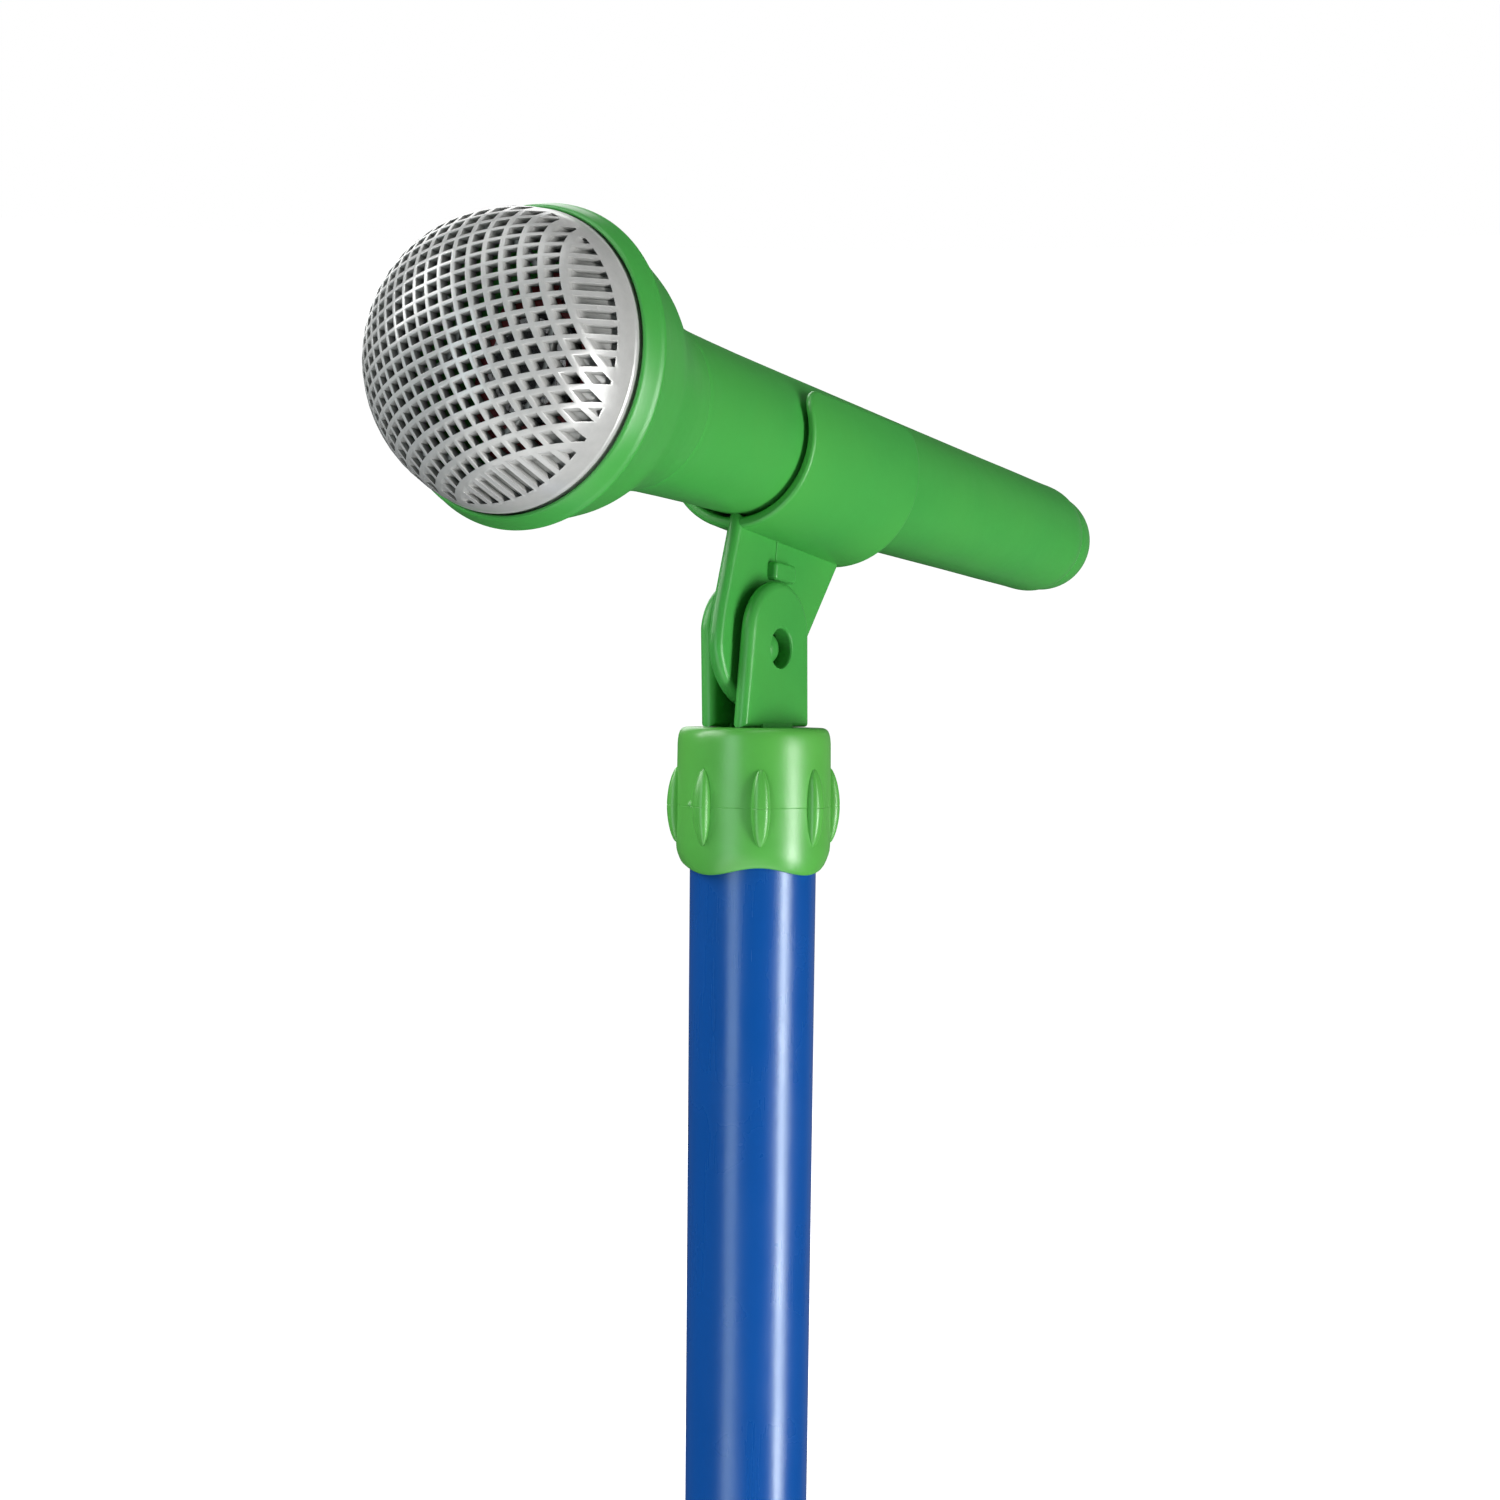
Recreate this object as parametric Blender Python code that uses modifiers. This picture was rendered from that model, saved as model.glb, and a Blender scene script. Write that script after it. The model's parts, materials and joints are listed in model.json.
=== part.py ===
"""Toy microphone in a tilting clip on the upper section of its stand.

Frame: metres, +Z up. The stand's axis is world Z, the lowest point is z = 0, the tilt pivot runs along X, and the
microphone's head points along -Y. Sizes below are millimetres, turned into metres by mm().
"""

import math

import bmesh
import bpy
from mathutils import Matrix, Vector

GAP = 0.3  # clearance between pieces that touch

# Main sizes
PIVOT_HEIGHT = 264.0
REST_TILT = 4.8  # degrees, head up
PIVOT_TO_MIC_AXIS = 36.3
HEAD_RADIUS = 23.6
HEAD_CENTRE = 73.3  # along the microphone's axis, from the foot of the perpendicular to the pivot
LIP_RADIUS = 25.5
WALL = 1.8
JOINT_LINE = 41.0  # where the head cup meets the handle
HANDLE_END = -113.4

# Handle: (distance along the axis, radius)
HANDLE_OUTLINE = (
    (JOINT_LINE - GAP, 14.5),
    (36.0, 14.1),
    (20.0, 13.55),
    (-24.0, 12.86),
    (-57.0, 12.35),
    (-106.0, 11.75),
)
SOCKET_RADIUS = 12.2
TAIL_BORE = 9.9

# Head internals
HOLDER_RADIUS = 18.6
HOLDER_FLOOR = 58.5
CAPSULE_RADIUS = 7.6
SCREW_CIRCLE = 13.8
HOLE_PITCH = 5.2  # grille openings, twice the real spacing
HOLE_WIDTH = 3.5

# Clip
SLEEVE_FRONT = 9.3
SLEEVE_REAR = -27.5
SLEEVE_FRONT_RADIUS = 15.6
SLEEVE_REAR_RADIUS = 16.9
SLEEVE_FRONT_DROP = 0.38  # how far the outside is centred below the microphone's axis
SLEEVE_REAR_DROP = 1.2
BORE_FRONT_RADIUS = 14.3
BORE_REAR_RADIUS = 13.15
OPENING_HALF_ANGLE = 54.0
TONGUE_THICKNESS = 3.0
TONGUE_RADIUS = 13.1
PIN_RADIUS = 3.2

# Fork, measured from the pivot
COLLAR_TOP = -14.06
EAR_INNER = TONGUE_THICKNESS / 2 + GAP
EAR_OUTER = 4.95
EAR_RADIUS = 9.8
EAR_BASE_HALF_WIDTH = 11.1
STEM_RADIUS = 7.5
STEM_END = -91.0
SLOT_FLOOR = -16.2

# Collar, tube and end plug, measured from the pivot
COLLAR_RADIUS = 13.8
COLLAR_BOTTOM = -40.4
COLLAR_SEAM = -28.0
WAVE_HEIGHT = 2.1
RIB_COUNT = 8
RIB_ANGLE = -52.9  # degrees, one rib's direction
TUBE_RADIUS = 11.3
TUBE_END_RADIUS = 10.6
TUBE_WALL = 1.5
TUBE_TOP = -22.2
TUBE_BOTTOM = -242.0
SPIGOT_RADIUS = 8.6
SPIGOT_BOTTOM = -PIVOT_HEIGHT

ROUND = 36  # sides of a large round piece
SMALL_ROUND = 20
SCREW_ROUND = 12
OFF_SEAM = 0.09  # radians, so that a cutter's corners miss the edges of what it cuts

COLOURS = {
    "green": (0.10, 0.43, 0.09, 1.0),
    "silver": (0.55, 0.56, 0.57, 1.0),
    "blue": (0.01, 0.07, 0.36, 1.0),
    "red": (0.35, 0.02, 0.02, 1.0),
    "black": (0.02, 0.02, 0.02, 1.0),
    "steel": (0.60, 0.60, 0.60, 1.0),
    "board": (0.05, 0.16, 0.06, 1.0),
    "felt": (0.08, 0.08, 0.08, 1.0),
    "natural": (0.75, 0.74, 0.70, 1.0),
}


def mm(*values):
    """Millimetres to metres: one number, or a Vector."""
    metres = [value * 0.001 for value in values]
    return metres[0] if len(metres) == 1 else Vector(metres)


def clear_scene():
    for obj in list(bpy.data.objects):
        bpy.data.objects.remove(obj, do_unlink=True)


def collection(name):
    made = bpy.data.collections.new(name)
    bpy.context.scene.collection.children.link(made)
    return made


def empty(name, location, rotation=(0.0, 0.0, 0.0), parent=None):
    made = bpy.data.objects.new(name, None)
    made.location = location
    made.rotation_euler = rotation
    made.parent = parent
    PARTS.objects.link(made)
    return made


def material(name, colour):
    made = bpy.data.materials.new(name)
    made.use_nodes = True
    shader = made.node_tree.nodes["Principled BSDF"]
    shader.inputs["Base Color"].default_value = COLOURS[colour]
    shader.inputs["Roughness"].default_value = 0.25 if colour == "steel" else 0.45
    shader.inputs["Metallic"].default_value = 1.0 if colour == "steel" else 0.0
    return made


def add(name, mesh, parent, colour=None):
    """Puts a mesh in the scene: a part when it has a colour, else a cutter."""
    obj = bpy.data.objects.new(name, mesh)
    obj.parent = parent
    if colour:
        PARTS.objects.link(obj)
        obj.data.materials.append(material(name, colour))
    else:
        CUTTERS.objects.link(obj)
        obj.hide_render = True
        obj.display_type = "WIRE"
    return obj


def baked(obj):
    """The evaluated mesh of a helper object, which is then removed."""
    bpy.context.view_layer.update()
    evaluated = obj.evaluated_get(bpy.context.evaluated_depsgraph_get())
    mesh = bpy.data.meshes.new_from_object(evaluated)
    old_data = obj.data
    bpy.data.objects.remove(obj, do_unlink=True)
    if isinstance(old_data, bpy.types.Curve):
        bpy.data.curves.remove(old_data)
    work = bmesh.new()
    work.from_mesh(mesh)
    bmesh.ops.remove_doubles(work, verts=work.verts, dist=1e-6)
    work.to_mesh(mesh)
    work.free()
    mesh.materials.clear()
    return mesh


def lathe_mesh(profile, steps=ROUND, open_ends=False):
    """Turns (radius, height) points about Z. The profile runs down its outer side; open_ends stops at the axis."""
    mesh = bpy.data.meshes.new("profile")
    points = [mm(radius, 0.0, height) for radius, height in profile]
    edges = [(i, i + 1) for i in range(len(points) - 1)]
    if not open_ends:
        edges.append((len(points) - 1, 0))
    mesh.from_pydata(points, edges, [])
    helper = bpy.data.objects.new("profile", mesh)
    CUTTERS.objects.link(helper)
    screw = helper.modifiers.new("Turn", "SCREW")
    screw.steps = screw.render_steps = steps
    screw.use_merge_vertices = True
    screw.merge_threshold = 1e-6
    return baked(helper)


def lathe(name, profile, parent, colour=None, steps=ROUND, open_ends=False):
    obj = add(name, lathe_mesh(profile, steps, open_ends), parent, colour)
    obj.data.shade_smooth()
    obj.data.set_sharp_from_angle(angle=math.radians(35))
    return obj


def rod(name, radius, low, high, parent, colour=None, steps=SMALL_ROUND, at=(0.0, 0.0)):
    """A plain cylinder from low to high along Z, with its axis at the point `at`."""
    obj = lathe(name, ((0, high), (radius, high), (radius, low), (0, low)), parent, colour, steps, open_ends=True)
    obj.location = mm(at[0], at[1], 0.0)
    obj.rotation_euler.z = OFF_SEAM
    return obj


def box(name, low, high, parent, colour=None):
    mesh = bpy.data.meshes.new(name)
    work = bmesh.new()
    bmesh.ops.create_cube(work, size=1.0)
    size = mm(*high) - mm(*low)
    bmesh.ops.scale(work, vec=size, verts=work.verts)
    bmesh.ops.translate(work, vec=(mm(*high) + mm(*low)) / 2, verts=work.verts)
    work.to_mesh(mesh)
    work.free()
    return add(name, mesh, parent, colour)


def plate(name, outline, low, high, edge, basis, parent, colour=None):
    """An outline with thickness from low to high and rounded edges. basis turns (across, up, thickness) to x, y, z."""
    curve = bpy.data.curves.new(name, "CURVE")
    curve.dimensions = "2D"
    curve.fill_mode = "BOTH"
    spline = curve.splines.new("POLY")
    spline.points.add(len(outline) - 1)
    for point, (across, up) in zip(spline.points, outline):
        point.co = (*mm(across, up, 0.0), 1.0)
    spline.use_cyclic_u = True
    curve.extrude = mm((high - low) / 2 - edge)
    curve.bevel_depth = mm(edge)
    curve.bevel_resolution = 1
    curve.offset = -mm(edge)
    helper = bpy.data.objects.new(name, curve)
    CUTTERS.objects.link(helper)
    mesh = baked(helper)
    mesh.transform(basis.to_4x4() @ Matrix.Translation(mm(0.0, 0.0, (high + low) / 2)))
    return add(name, mesh, parent, colour)


def combine(obj, other, operation):
    modifier = obj.modifiers.new(other.name, "BOOLEAN")
    modifier.operation = operation
    modifier.solver = "EXACT"
    modifier.object = other


def cut(obj, *others):
    for other in others:
        combine(obj, other, "DIFFERENCE")


def join(obj, *others):
    for other in others:
        combine(obj, other, "UNION")


def around(radius, degrees):
    angle = math.radians(degrees)
    return radius * math.cos(angle), radius * math.sin(angle)


def tangent_degrees(point, centre, radius, side):
    """Direction, from the centre, of the point where a line from `point` touches the circle."""
    across, up = point[0] - centre[0], point[1] - centre[1]
    reach = math.degrees(math.acos(radius / math.hypot(across, up)))
    return math.degrees(math.atan2(up, across)) + side * reach


def arc(centre, radius, start, end, steps):
    points = []
    for i in range(steps + 1):
        across, up = around(radius, start + (end - start) * i / steps)
        points.append((centre[0] + across, centre[1] + up))
    return points


# ---------------------------------------------------------------- microphone


def outer_radius(along):
    """The handle's outside radius at a distance along the axis."""
    for (front, front_radius), (rear, rear_radius) in zip(HANDLE_OUTLINE, HANDLE_OUTLINE[1:]):
        if rear <= along <= front:
            return rear_radius + (front_radius - rear_radius) * (along - rear) / (front - rear)
    return HANDLE_OUTLINE[-1][1]


def make_grille(mic):
    skirt = HEAD_RADIUS - 0.25
    seat = 70.8
    outer = [around(HEAD_RADIUS, degrees) for degrees in range(90, 8, -9)]
    inner = [around(HEAD_RADIUS - 2.0, degrees) for degrees in range(9, 91, 9)]
    profile = [(radius, HEAD_CENTRE + along) for radius, along in outer]
    profile[0] = (0.0, HEAD_CENTRE + HEAD_RADIUS)
    profile += [(skirt, 75.0), (skirt, seat), (skirt - 2.0, seat)]
    profile += [(radius, HEAD_CENTRE + along) for radius, along in inner]
    profile[-1] = (0.0, HEAD_CENTRE + HEAD_RADIUS - 2.0)
    grille = lathe("grille_dome", profile, mic, "silver", open_ends=True)
    holes = bpy.data.meshes.new("grille_holes")
    work = bmesh.new()
    reach = 4
    for column in range(-reach, reach + 1):
        for row in range(-reach, reach + 1):
            across, up = column * HOLE_PITCH, row * HOLE_PITCH
            if math.hypot(across, up) > 16.5:
                continue
            place = Matrix.Translation(mm(across, up, HEAD_CENTRE + 18.0))
            size = Matrix.Diagonal((*mm(HOLE_WIDTH, HOLE_WIDTH, 32.0), 1.0))
            bmesh.ops.create_cube(work, size=1.0, matrix=place @ size)
    work.to_mesh(holes)
    work.free()
    cutter = add("grille_holes", holes, mic)
    cutter.rotation_euler = (0.0, 0.0, math.radians(45.0))
    cut(grille, cutter)


def make_head_cup(mic):
    spigot = SOCKET_RADIUS - GAP
    mouth = HEAD_RADIUS + 0.05
    profile = (
        (mouth, 75.7),
        (24.3, 76.0),
        (24.95, 75.4),
        (25.35, 73.2),
        (LIP_RADIUS, 70.4),
        (23.9, 66.0),
        (22.0, 60.0),
        (19.8, 55.0),
        (17.4, 50.0),
        (15.5, 45.0),
        (14.6, JOINT_LINE),
        (spigot, JOINT_LINE),
        (spigot, 27.5),
        (spigot - 1.6, 27.5),
        (spigot - 1.6, 39.5),
        (13.6, 46.0),
        (18.0, 55.8),
        (20.1, 60.6),
        (21.9, 66.4),
        (22.2, 70.5),
        (mouth, 70.5),
    )
    cup = lathe("head_cup", profile, mic, "green")
    for number in range(3):
        at = around(SCREW_CIRCLE, 90.0 + 120.0 * number)
        join(cup, rod(f"cup_post_{number + 1}", 2.4, 48.0, HOLDER_FLOOR - GAP, mic, steps=16, at=at))
        cut(cup, rod(f"cup_post_hole_{number + 1}", 1.5, 52.5, 60.0, mic, steps=SCREW_ROUND, at=at))


def make_capsule_parts(mic):
    floor_top = HOLDER_FLOOR + 2.0
    collar_bore = CAPSULE_RADIUS + 1.5
    profile = (
        (collar_bore, 68.5),
        (collar_bore + 1.5, 68.5),
        (collar_bore + 1.5, floor_top),
        (HOLDER_RADIUS, floor_top),
        (HOLDER_RADIUS, HOLDER_FLOOR),
        (2.5, HOLDER_FLOOR),
        (2.5, floor_top),
        (collar_bore, floor_top),
    )
    holder = lathe("capsule_holder", profile, mic, "red", steps=SMALL_ROUND + 4)
    for number in range(3):
        turn = 90.0 + 120.0 * number
        at = around(SCREW_CIRCLE, turn)
        hole = rod(f"holder_screw_hole_{number + 1}", 1.5, 55.0, 65.0, mic, steps=SCREW_ROUND, at=at)
        vent = rod(f"holder_vent_{number + 1}", 2.6, 55.0, 65.0, mic, steps=SCREW_ROUND, at=around(14.2, turn + 60.0))
        cut(holder, hole, vent)
        head = floor_top + GAP
        screw = ((0, head + 1.3), (1.5, head + 1.3), (2.1, head), (1.2, head), (1.2, 53.2), (0, 53.2))
        name = f"holder_screw_{number + 1}"
        lathe(name, screw, mic, "steel", SCREW_ROUND, open_ends=True).location = mm(*at, 0.0)
    board_low = floor_top + 0.4
    rod("capsule_board", CAPSULE_RADIUS, board_low, board_low + 1.2, mic, "board")
    low = board_low + 1.2 + GAP
    can = ((0, 70.2), (6.2, 70.2), (6.2, 71.0), (CAPSULE_RADIUS, 71.0), (CAPSULE_RADIUS, low), (0, low))
    lathe("capsule_can", can, mic, "steel", SMALL_ROUND, open_ends=True)
    rod("capsule_felt", 5.9, 70.5, 71.6, mic, "felt")
    inner, outer = CAPSULE_RADIUS + GAP, collar_bore - GAP
    ring = ((inner, 69.0), (outer, 69.0), (outer, 63.0), (inner, 63.0))
    lathe("capsule_ring", ring, mic, "black", SMALL_ROUND)


def make_handle(mic):
    profile = [(SOCKET_RADIUS, JOINT_LINE - GAP)]
    profile += [(radius, along) for along, radius in HANDLE_OUTLINE]
    profile += [(11.4, -111.0), (10.7, HANDLE_END), (TAIL_BORE, HANDLE_END), (TAIL_BORE, -99.5)]
    for along in (-97.0, -57.0, -24.0, 20.0):
        profile.append((outer_radius(along) - WALL, along))
    profile.append((SOCKET_RADIUS, 26.0))
    lathe("handle", profile, mic, "green")


def make_tail(mic):
    plug = TAIL_BORE - GAP
    rim = HANDLE_END - GAP
    face = -123.6
    profile = (
        (plug - 2.0, -104.0),
        (plug, -104.0),
        (plug, rim),
        (10.3, rim),
        (10.25, -116.0),
        (9.7, -118.3),
        (8.6, -120.9),
        (7.0, -123.0),
        (6.2, face),
        (4.2, face),
        (4.2, -121.6),
        (6.9, -121.6),
        (plug - 2.0, -118.0),
    )
    lathe("tail_cap", profile, mic, "green", ROUND)
    socket_top = -101.0
    body = (
        (0, socket_top),
        (6.5, socket_top),
        (6.5, -121.3),
        (4.2, -121.3),
        (4.2, -118.0),
        (3.4, -118.0),
        (3.4, -104.0),
        (0, -104.0),
    )
    lathe("jack_socket", body, mic, "black", SMALL_ROUND, open_ends=True)
    lathe("jack_bushing", ((3.4, -118.3), (3.9, -118.3), (3.9, -126.2), (3.4, -126.2)), mic, "steel", SMALL_ROUND)
    nut_front = face - GAP
    nut = rod("jack_nut", 5.7, nut_front - 1.6, nut_front, mic, "steel", steps=6)
    cut(nut, rod("nut_bore", 4.2, nut_front - 5.0, nut_front + 5.0, mic))
    return socket_top


def make_wires(mic, jack_top):
    for name, side, colour in (("wire_red", 1.0, "red"), ("wire_black", -1.0, "black")):
        path = (
            (1.2, 0.0, HOLDER_FLOOR + 2.1),
            (1.2, 0.0, 50.0),
            (2.4, -4.5, 30.0),
            (2.6, -7.0, 0.0),
            (2.2, -6.5, -50.0),
            (2.4, -3.0, -85.0),
            (2.4, 0.0, jack_top + GAP),
        )
        curve = bpy.data.curves.new(name, "CURVE")
        curve.dimensions = "3D"
        spline = curve.splines.new("BEZIER")
        spline.bezier_points.add(len(path) - 1)
        for point, (across, up, along) in zip(spline.bezier_points, path):
            point.co = mm(side * across, up, along)
            point.handle_left_type = point.handle_right_type = "AUTO"
        curve.resolution_u = 3
        curve.bevel_depth = mm(0.6)
        curve.bevel_resolution = 1
        curve.use_fill_caps = True
        helper = bpy.data.objects.new(name, curve)
        CUTTERS.objects.link(helper)
        add(name, baked(helper), mic, colour)


# ---------------------------------------------------------------- clip and pivot


def cone_mesh(name, rear, front, rear_radius, front_radius, rear_up, front_up):
    """A cone along Z whose centre line climbs from rear_up to front_up."""
    mesh = bpy.data.meshes.new(name)
    work = bmesh.new()
    bmesh.ops.create_cone(
        work,
        cap_ends=True,
        segments=ROUND,
        radius1=mm(rear_radius),
        radius2=mm(front_radius),
        depth=mm(front - rear),
        matrix=Matrix.Translation(mm(0.0, 0.0, (front + rear) / 2)),
    )
    slope = (front_up - rear_up) / (front - rear)
    for vert in work.verts:
        vert.co.y += mm(rear_up) + slope * (vert.co.z - mm(rear))
    work.to_mesh(mesh)
    work.free()
    return mesh


def make_clip(tilt):
    """The clip's frame: x along the pivot, y from the pivot to the microphone's axis, z along the microphone."""
    axis = PIVOT_TO_MIC_AXIS
    outside = cone_mesh(
        "mic_clip",
        SLEEVE_REAR,
        SLEEVE_FRONT,
        SLEEVE_REAR_RADIUS,
        SLEEVE_FRONT_RADIUS,
        axis - SLEEVE_REAR_DROP,
        axis - SLEEVE_FRONT_DROP,
    )
    clip = add("mic_clip", outside, tilt, "green")
    centre = (0.5, 0.8)
    front_corner, rear_corner = (9.0, 21.2), (-26.8, 20.6)
    start = tangent_degrees(front_corner, centre, TONGUE_RADIUS, -1)
    end = tangent_degrees(rear_corner, centre, TONGUE_RADIUS, 1) - 360.0
    outline = [rear_corner, front_corner] + arc(centre, TONGUE_RADIUS, start, end, 18)
    half = TONGUE_THICKNESS / 2
    basis = Matrix(((0, 0, -1), (0, 1, 0), (1, 0, 0)))
    tongue = plate("clip_tongue", outline, -half, half, 0.4, basis, tilt)
    boss = box("clip_boss", (half - 0.5, 12.5, -6.45), (half + 1.8, 15.9, 0.85), tilt)
    spread = 30.0
    across, up = around(spread, 90.0 - OPENING_HALF_ANGLE)
    opening = ((0.0, axis), (across, axis + up), (across, axis + spread), (-across, axis + spread), (-across, axis + up))
    flat = Matrix.Identity(3)
    slot = plate("clip_opening", opening, -60.0, 60.0, 0.01, flat, tilt)
    bore_slope = (BORE_FRONT_RADIUS - BORE_REAR_RADIUS) / (SLEEVE_FRONT - SLEEVE_REAR)
    bore_mesh = cone_mesh(
        "clip_bore",
        SLEEVE_REAR - 5.0,
        SLEEVE_FRONT + 5.0,
        BORE_REAR_RADIUS - 5.0 * bore_slope,
        BORE_FRONT_RADIUS + 5.0 * bore_slope,
        axis,
        axis,
    )
    bore = add("clip_bore", bore_mesh, tilt)
    join(clip, tongue, boss)
    cut(clip, bore, slot, pivot_bore("clip_pin_hole", tilt))
    half_pin = EAR_OUTER - 1.8
    pin = ((0, half_pin), (2.2, half_pin - 0.1), (PIN_RADIUS, half_pin - 0.6))
    pin += tuple((radius, -height) for radius, height in reversed(pin))
    lathe("pivot_pin", pin, tilt, "green", SMALL_ROUND, open_ends=True).rotation_euler = (0, math.pi / 2, 0)


def pivot_bore(name, parent):
    hole = rod(name, PIN_RADIUS + GAP, -20.0, 20.0, parent)
    hole.rotation_euler = (0, math.pi / 2, 0)
    return hole


# ---------------------------------------------------------------- fork, collar and tube


def make_fork(pivot):
    """Everything here is measured from the pivot, with world axes."""
    stem = (
        (0, COLLAR_TOP),
        (STEM_RADIUS, COLLAR_TOP),
        (STEM_RADIUS, STEM_END),
        (5.0, STEM_END),
        (5.0, STEM_END - 4.2),
        (0, STEM_END - 4.2),
    )
    fork = lathe("fork", stem, pivot, "green", SMALL_ROUND + 4, open_ends=True)
    centre = (0.0, 2.1)
    base = COLLAR_TOP + GAP
    start = tangent_degrees((EAR_BASE_HALF_WIDTH, base), centre, EAR_RADIUS, 1)
    outline = [(-EAR_BASE_HALF_WIDTH, base), (EAR_BASE_HALF_WIDTH, base)]
    outline += arc(centre, EAR_RADIUS, start, 180.0 - start, 16)
    basis = Matrix(((0, 0, 1), (1, 0, 0), (0, 1, 0)))
    for name, side in (("ear_right", 1), ("ear_left", -1)):
        low, high = sorted((side * EAR_INNER, side * EAR_OUTER))
        tang_low, tang_high = low + 0.1, high - 0.1
        tang = box(name + "_tang", (tang_low, -5.2, base - 2.7), (tang_high, 5.2, base + 2.0), pivot)
        join(fork, plate(name, outline, low, high, 0.4, basis, pivot), tang)
    slot_half = EAR_INNER - 0.04
    cut(fork, box("fork_slot", (-slot_half, -15.0, SLOT_FLOOR), (slot_half, 15.0, 20.0), pivot))
    cut(fork, pivot_bore("fork_pin_hole", pivot))
    cut(fork, rod("stem_screw_hole", 1.8, STEM_END - 10.0, STEM_END + 7.0, pivot, steps=SCREW_ROUND))


def make_stem_end(pivot):
    top, bottom = STEM_END - GAP, STEM_END - 3.9
    guide = TUBE_RADIUS - TUBE_WALL - 0.6
    lathe("stem_guide", ((5.3, top), (guide, top), (guide, bottom), (5.3, bottom)), pivot, "natural", SMALL_ROUND)
    washer_top = STEM_END - 4.2 - GAP
    washer = ((1.8, washer_top), (7.4, washer_top), (7.4, washer_top - 1.2), (1.8, washer_top - 1.2))
    lathe("stem_washer", washer, pivot, "steel", SMALL_ROUND)
    seat = washer_top - 1.2 - GAP
    screw = ((0, STEM_END + 6.0), (1.5, STEM_END + 6.0), (1.5, seat), (3.4, seat), (2.6, seat - 2.0), (0, seat - 2.0))
    lathe("stem_screw", screw, pivot, "steel", SCREW_ROUND, open_ends=True)


def make_collar(pivot):
    bore = TUBE_RADIUS + GAP
    roof = -18.9
    profile = (
        (STEM_RADIUS + GAP, COLLAR_TOP),
        (12.3, COLLAR_TOP),
        (13.3, -14.6),
        (COLLAR_RADIUS - 0.1, -16.0),
        (COLLAR_RADIUS, COLLAR_SEAM),
        (COLLAR_RADIUS, -37.0),
        (COLLAR_RADIUS - 0.4, COLLAR_BOTTOM),
        (bore, COLLAR_BOTTOM),
        (bore, roof),
        (STEM_RADIUS + GAP, roof),
    )
    collar = lathe("lock_collar", profile, pivot, "green", steps=48)
    for vert in collar.data.vertices:
        if vert.co.z < mm(COLLAR_BOTTOM + 0.5):
            turn = math.atan2(vert.co.y, vert.co.x) - math.radians(RIB_ANGLE)
            vert.co.z += mm(WAVE_HEIGHT) * (1.0 + math.cos(4.0 * turn)) / 2.0
    ribs = bpy.data.meshes.new("collar_ribs")
    work = bmesh.new()
    for number in range(RIB_COUNT):
        turn = Matrix.Rotation(math.radians(RIB_ANGLE + 360.0 * number / RIB_COUNT), 4, "Z")
        place = turn @ Matrix.Translation(mm(COLLAR_RADIUS - 0.1, 0.0, COLLAR_SEAM))
        size = Matrix.Diagonal((*mm(1.95, 1.6, 6.8), 1.0))
        bmesh.ops.create_uvsphere(work, u_segments=10, v_segments=8, radius=1.0, matrix=place @ size)
    work.to_mesh(ribs)
    work.free()
    join(collar, add("collar_ribs", ribs, pivot))


def make_collet(pivot):
    bore = STEM_RADIUS + GAP
    flange_top, flange_low, low = -19.2, TUBE_TOP + GAP, -45.0
    body = TUBE_RADIUS - TUBE_WALL - 0.35
    profile = ((bore, flange_top), (TUBE_RADIUS, flange_top), (TUBE_RADIUS, flange_low), (body, flange_low), (body, low))
    profile += ((bore, low),)
    collet = lathe("collet", profile, pivot, "natural", SMALL_ROUND + 4)
    for number, degrees in enumerate((0.0, 90.0)):
        slit = box(f"collet_slit_{number + 1}", (-15.0, -1.0, -60.0), (15.0, 1.0, -29.0), pivot)
        slit.rotation_euler = (0.0, 0.0, math.radians(degrees))
        cut(collet, slit)


def make_tube(pivot):
    inner_top, inner_end = TUBE_RADIUS - TUBE_WALL, TUBE_END_RADIUS - TUBE_WALL
    profile = ((inner_top, TUBE_TOP), (TUBE_RADIUS, TUBE_TOP), (TUBE_RADIUS, COLLAR_BOTTOM))
    profile += ((TUBE_END_RADIUS, TUBE_BOTTOM), (inner_end, TUBE_BOTTOM), (inner_top, COLLAR_BOTTOM))
    lathe("upper_tube", profile, pivot, "blue")
    shoulder = TUBE_BOTTOM - GAP
    flange = shoulder - 2.7
    profile = (
        (0, -230.0),
        (inner_end - GAP - 0.6, -230.0),
        (inner_end - GAP, -231.5),
        (inner_end - GAP, shoulder),
        (TUBE_END_RADIUS, shoulder),
        (TUBE_END_RADIUS, flange),
        (SPIGOT_RADIUS, flange),
        (SPIGOT_RADIUS - 0.2, SPIGOT_BOTTOM + 1.5),
        (SPIGOT_RADIUS - 1.0, SPIGOT_BOTTOM),
        (6.4, SPIGOT_BOTTOM),
        (6.4, -235.0),
        (0, -235.0),
    )
    lathe("end_plug", profile, pivot, "black", open_ends=True)


clear_scene()
PARTS = collection("toy_microphone")
CUTTERS = collection("cutters")
CUTTERS.hide_render = True

pivot_point = empty("pivot_point", mm(0.0, 0.0, PIVOT_HEIGHT))
# Under this empty, x runs along the pivot, y from the pivot to the microphone's axis and z along the microphone.
tilt_axis = empty("tilt_axis", mm(0.0, 0.0, PIVOT_HEIGHT), (math.radians(90.0 - REST_TILT), 0.0, 0.0))
mic_axis = empty("mic_axis", mm(0.0, PIVOT_TO_MIC_AXIS, 0.0), parent=tilt_axis)

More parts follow.
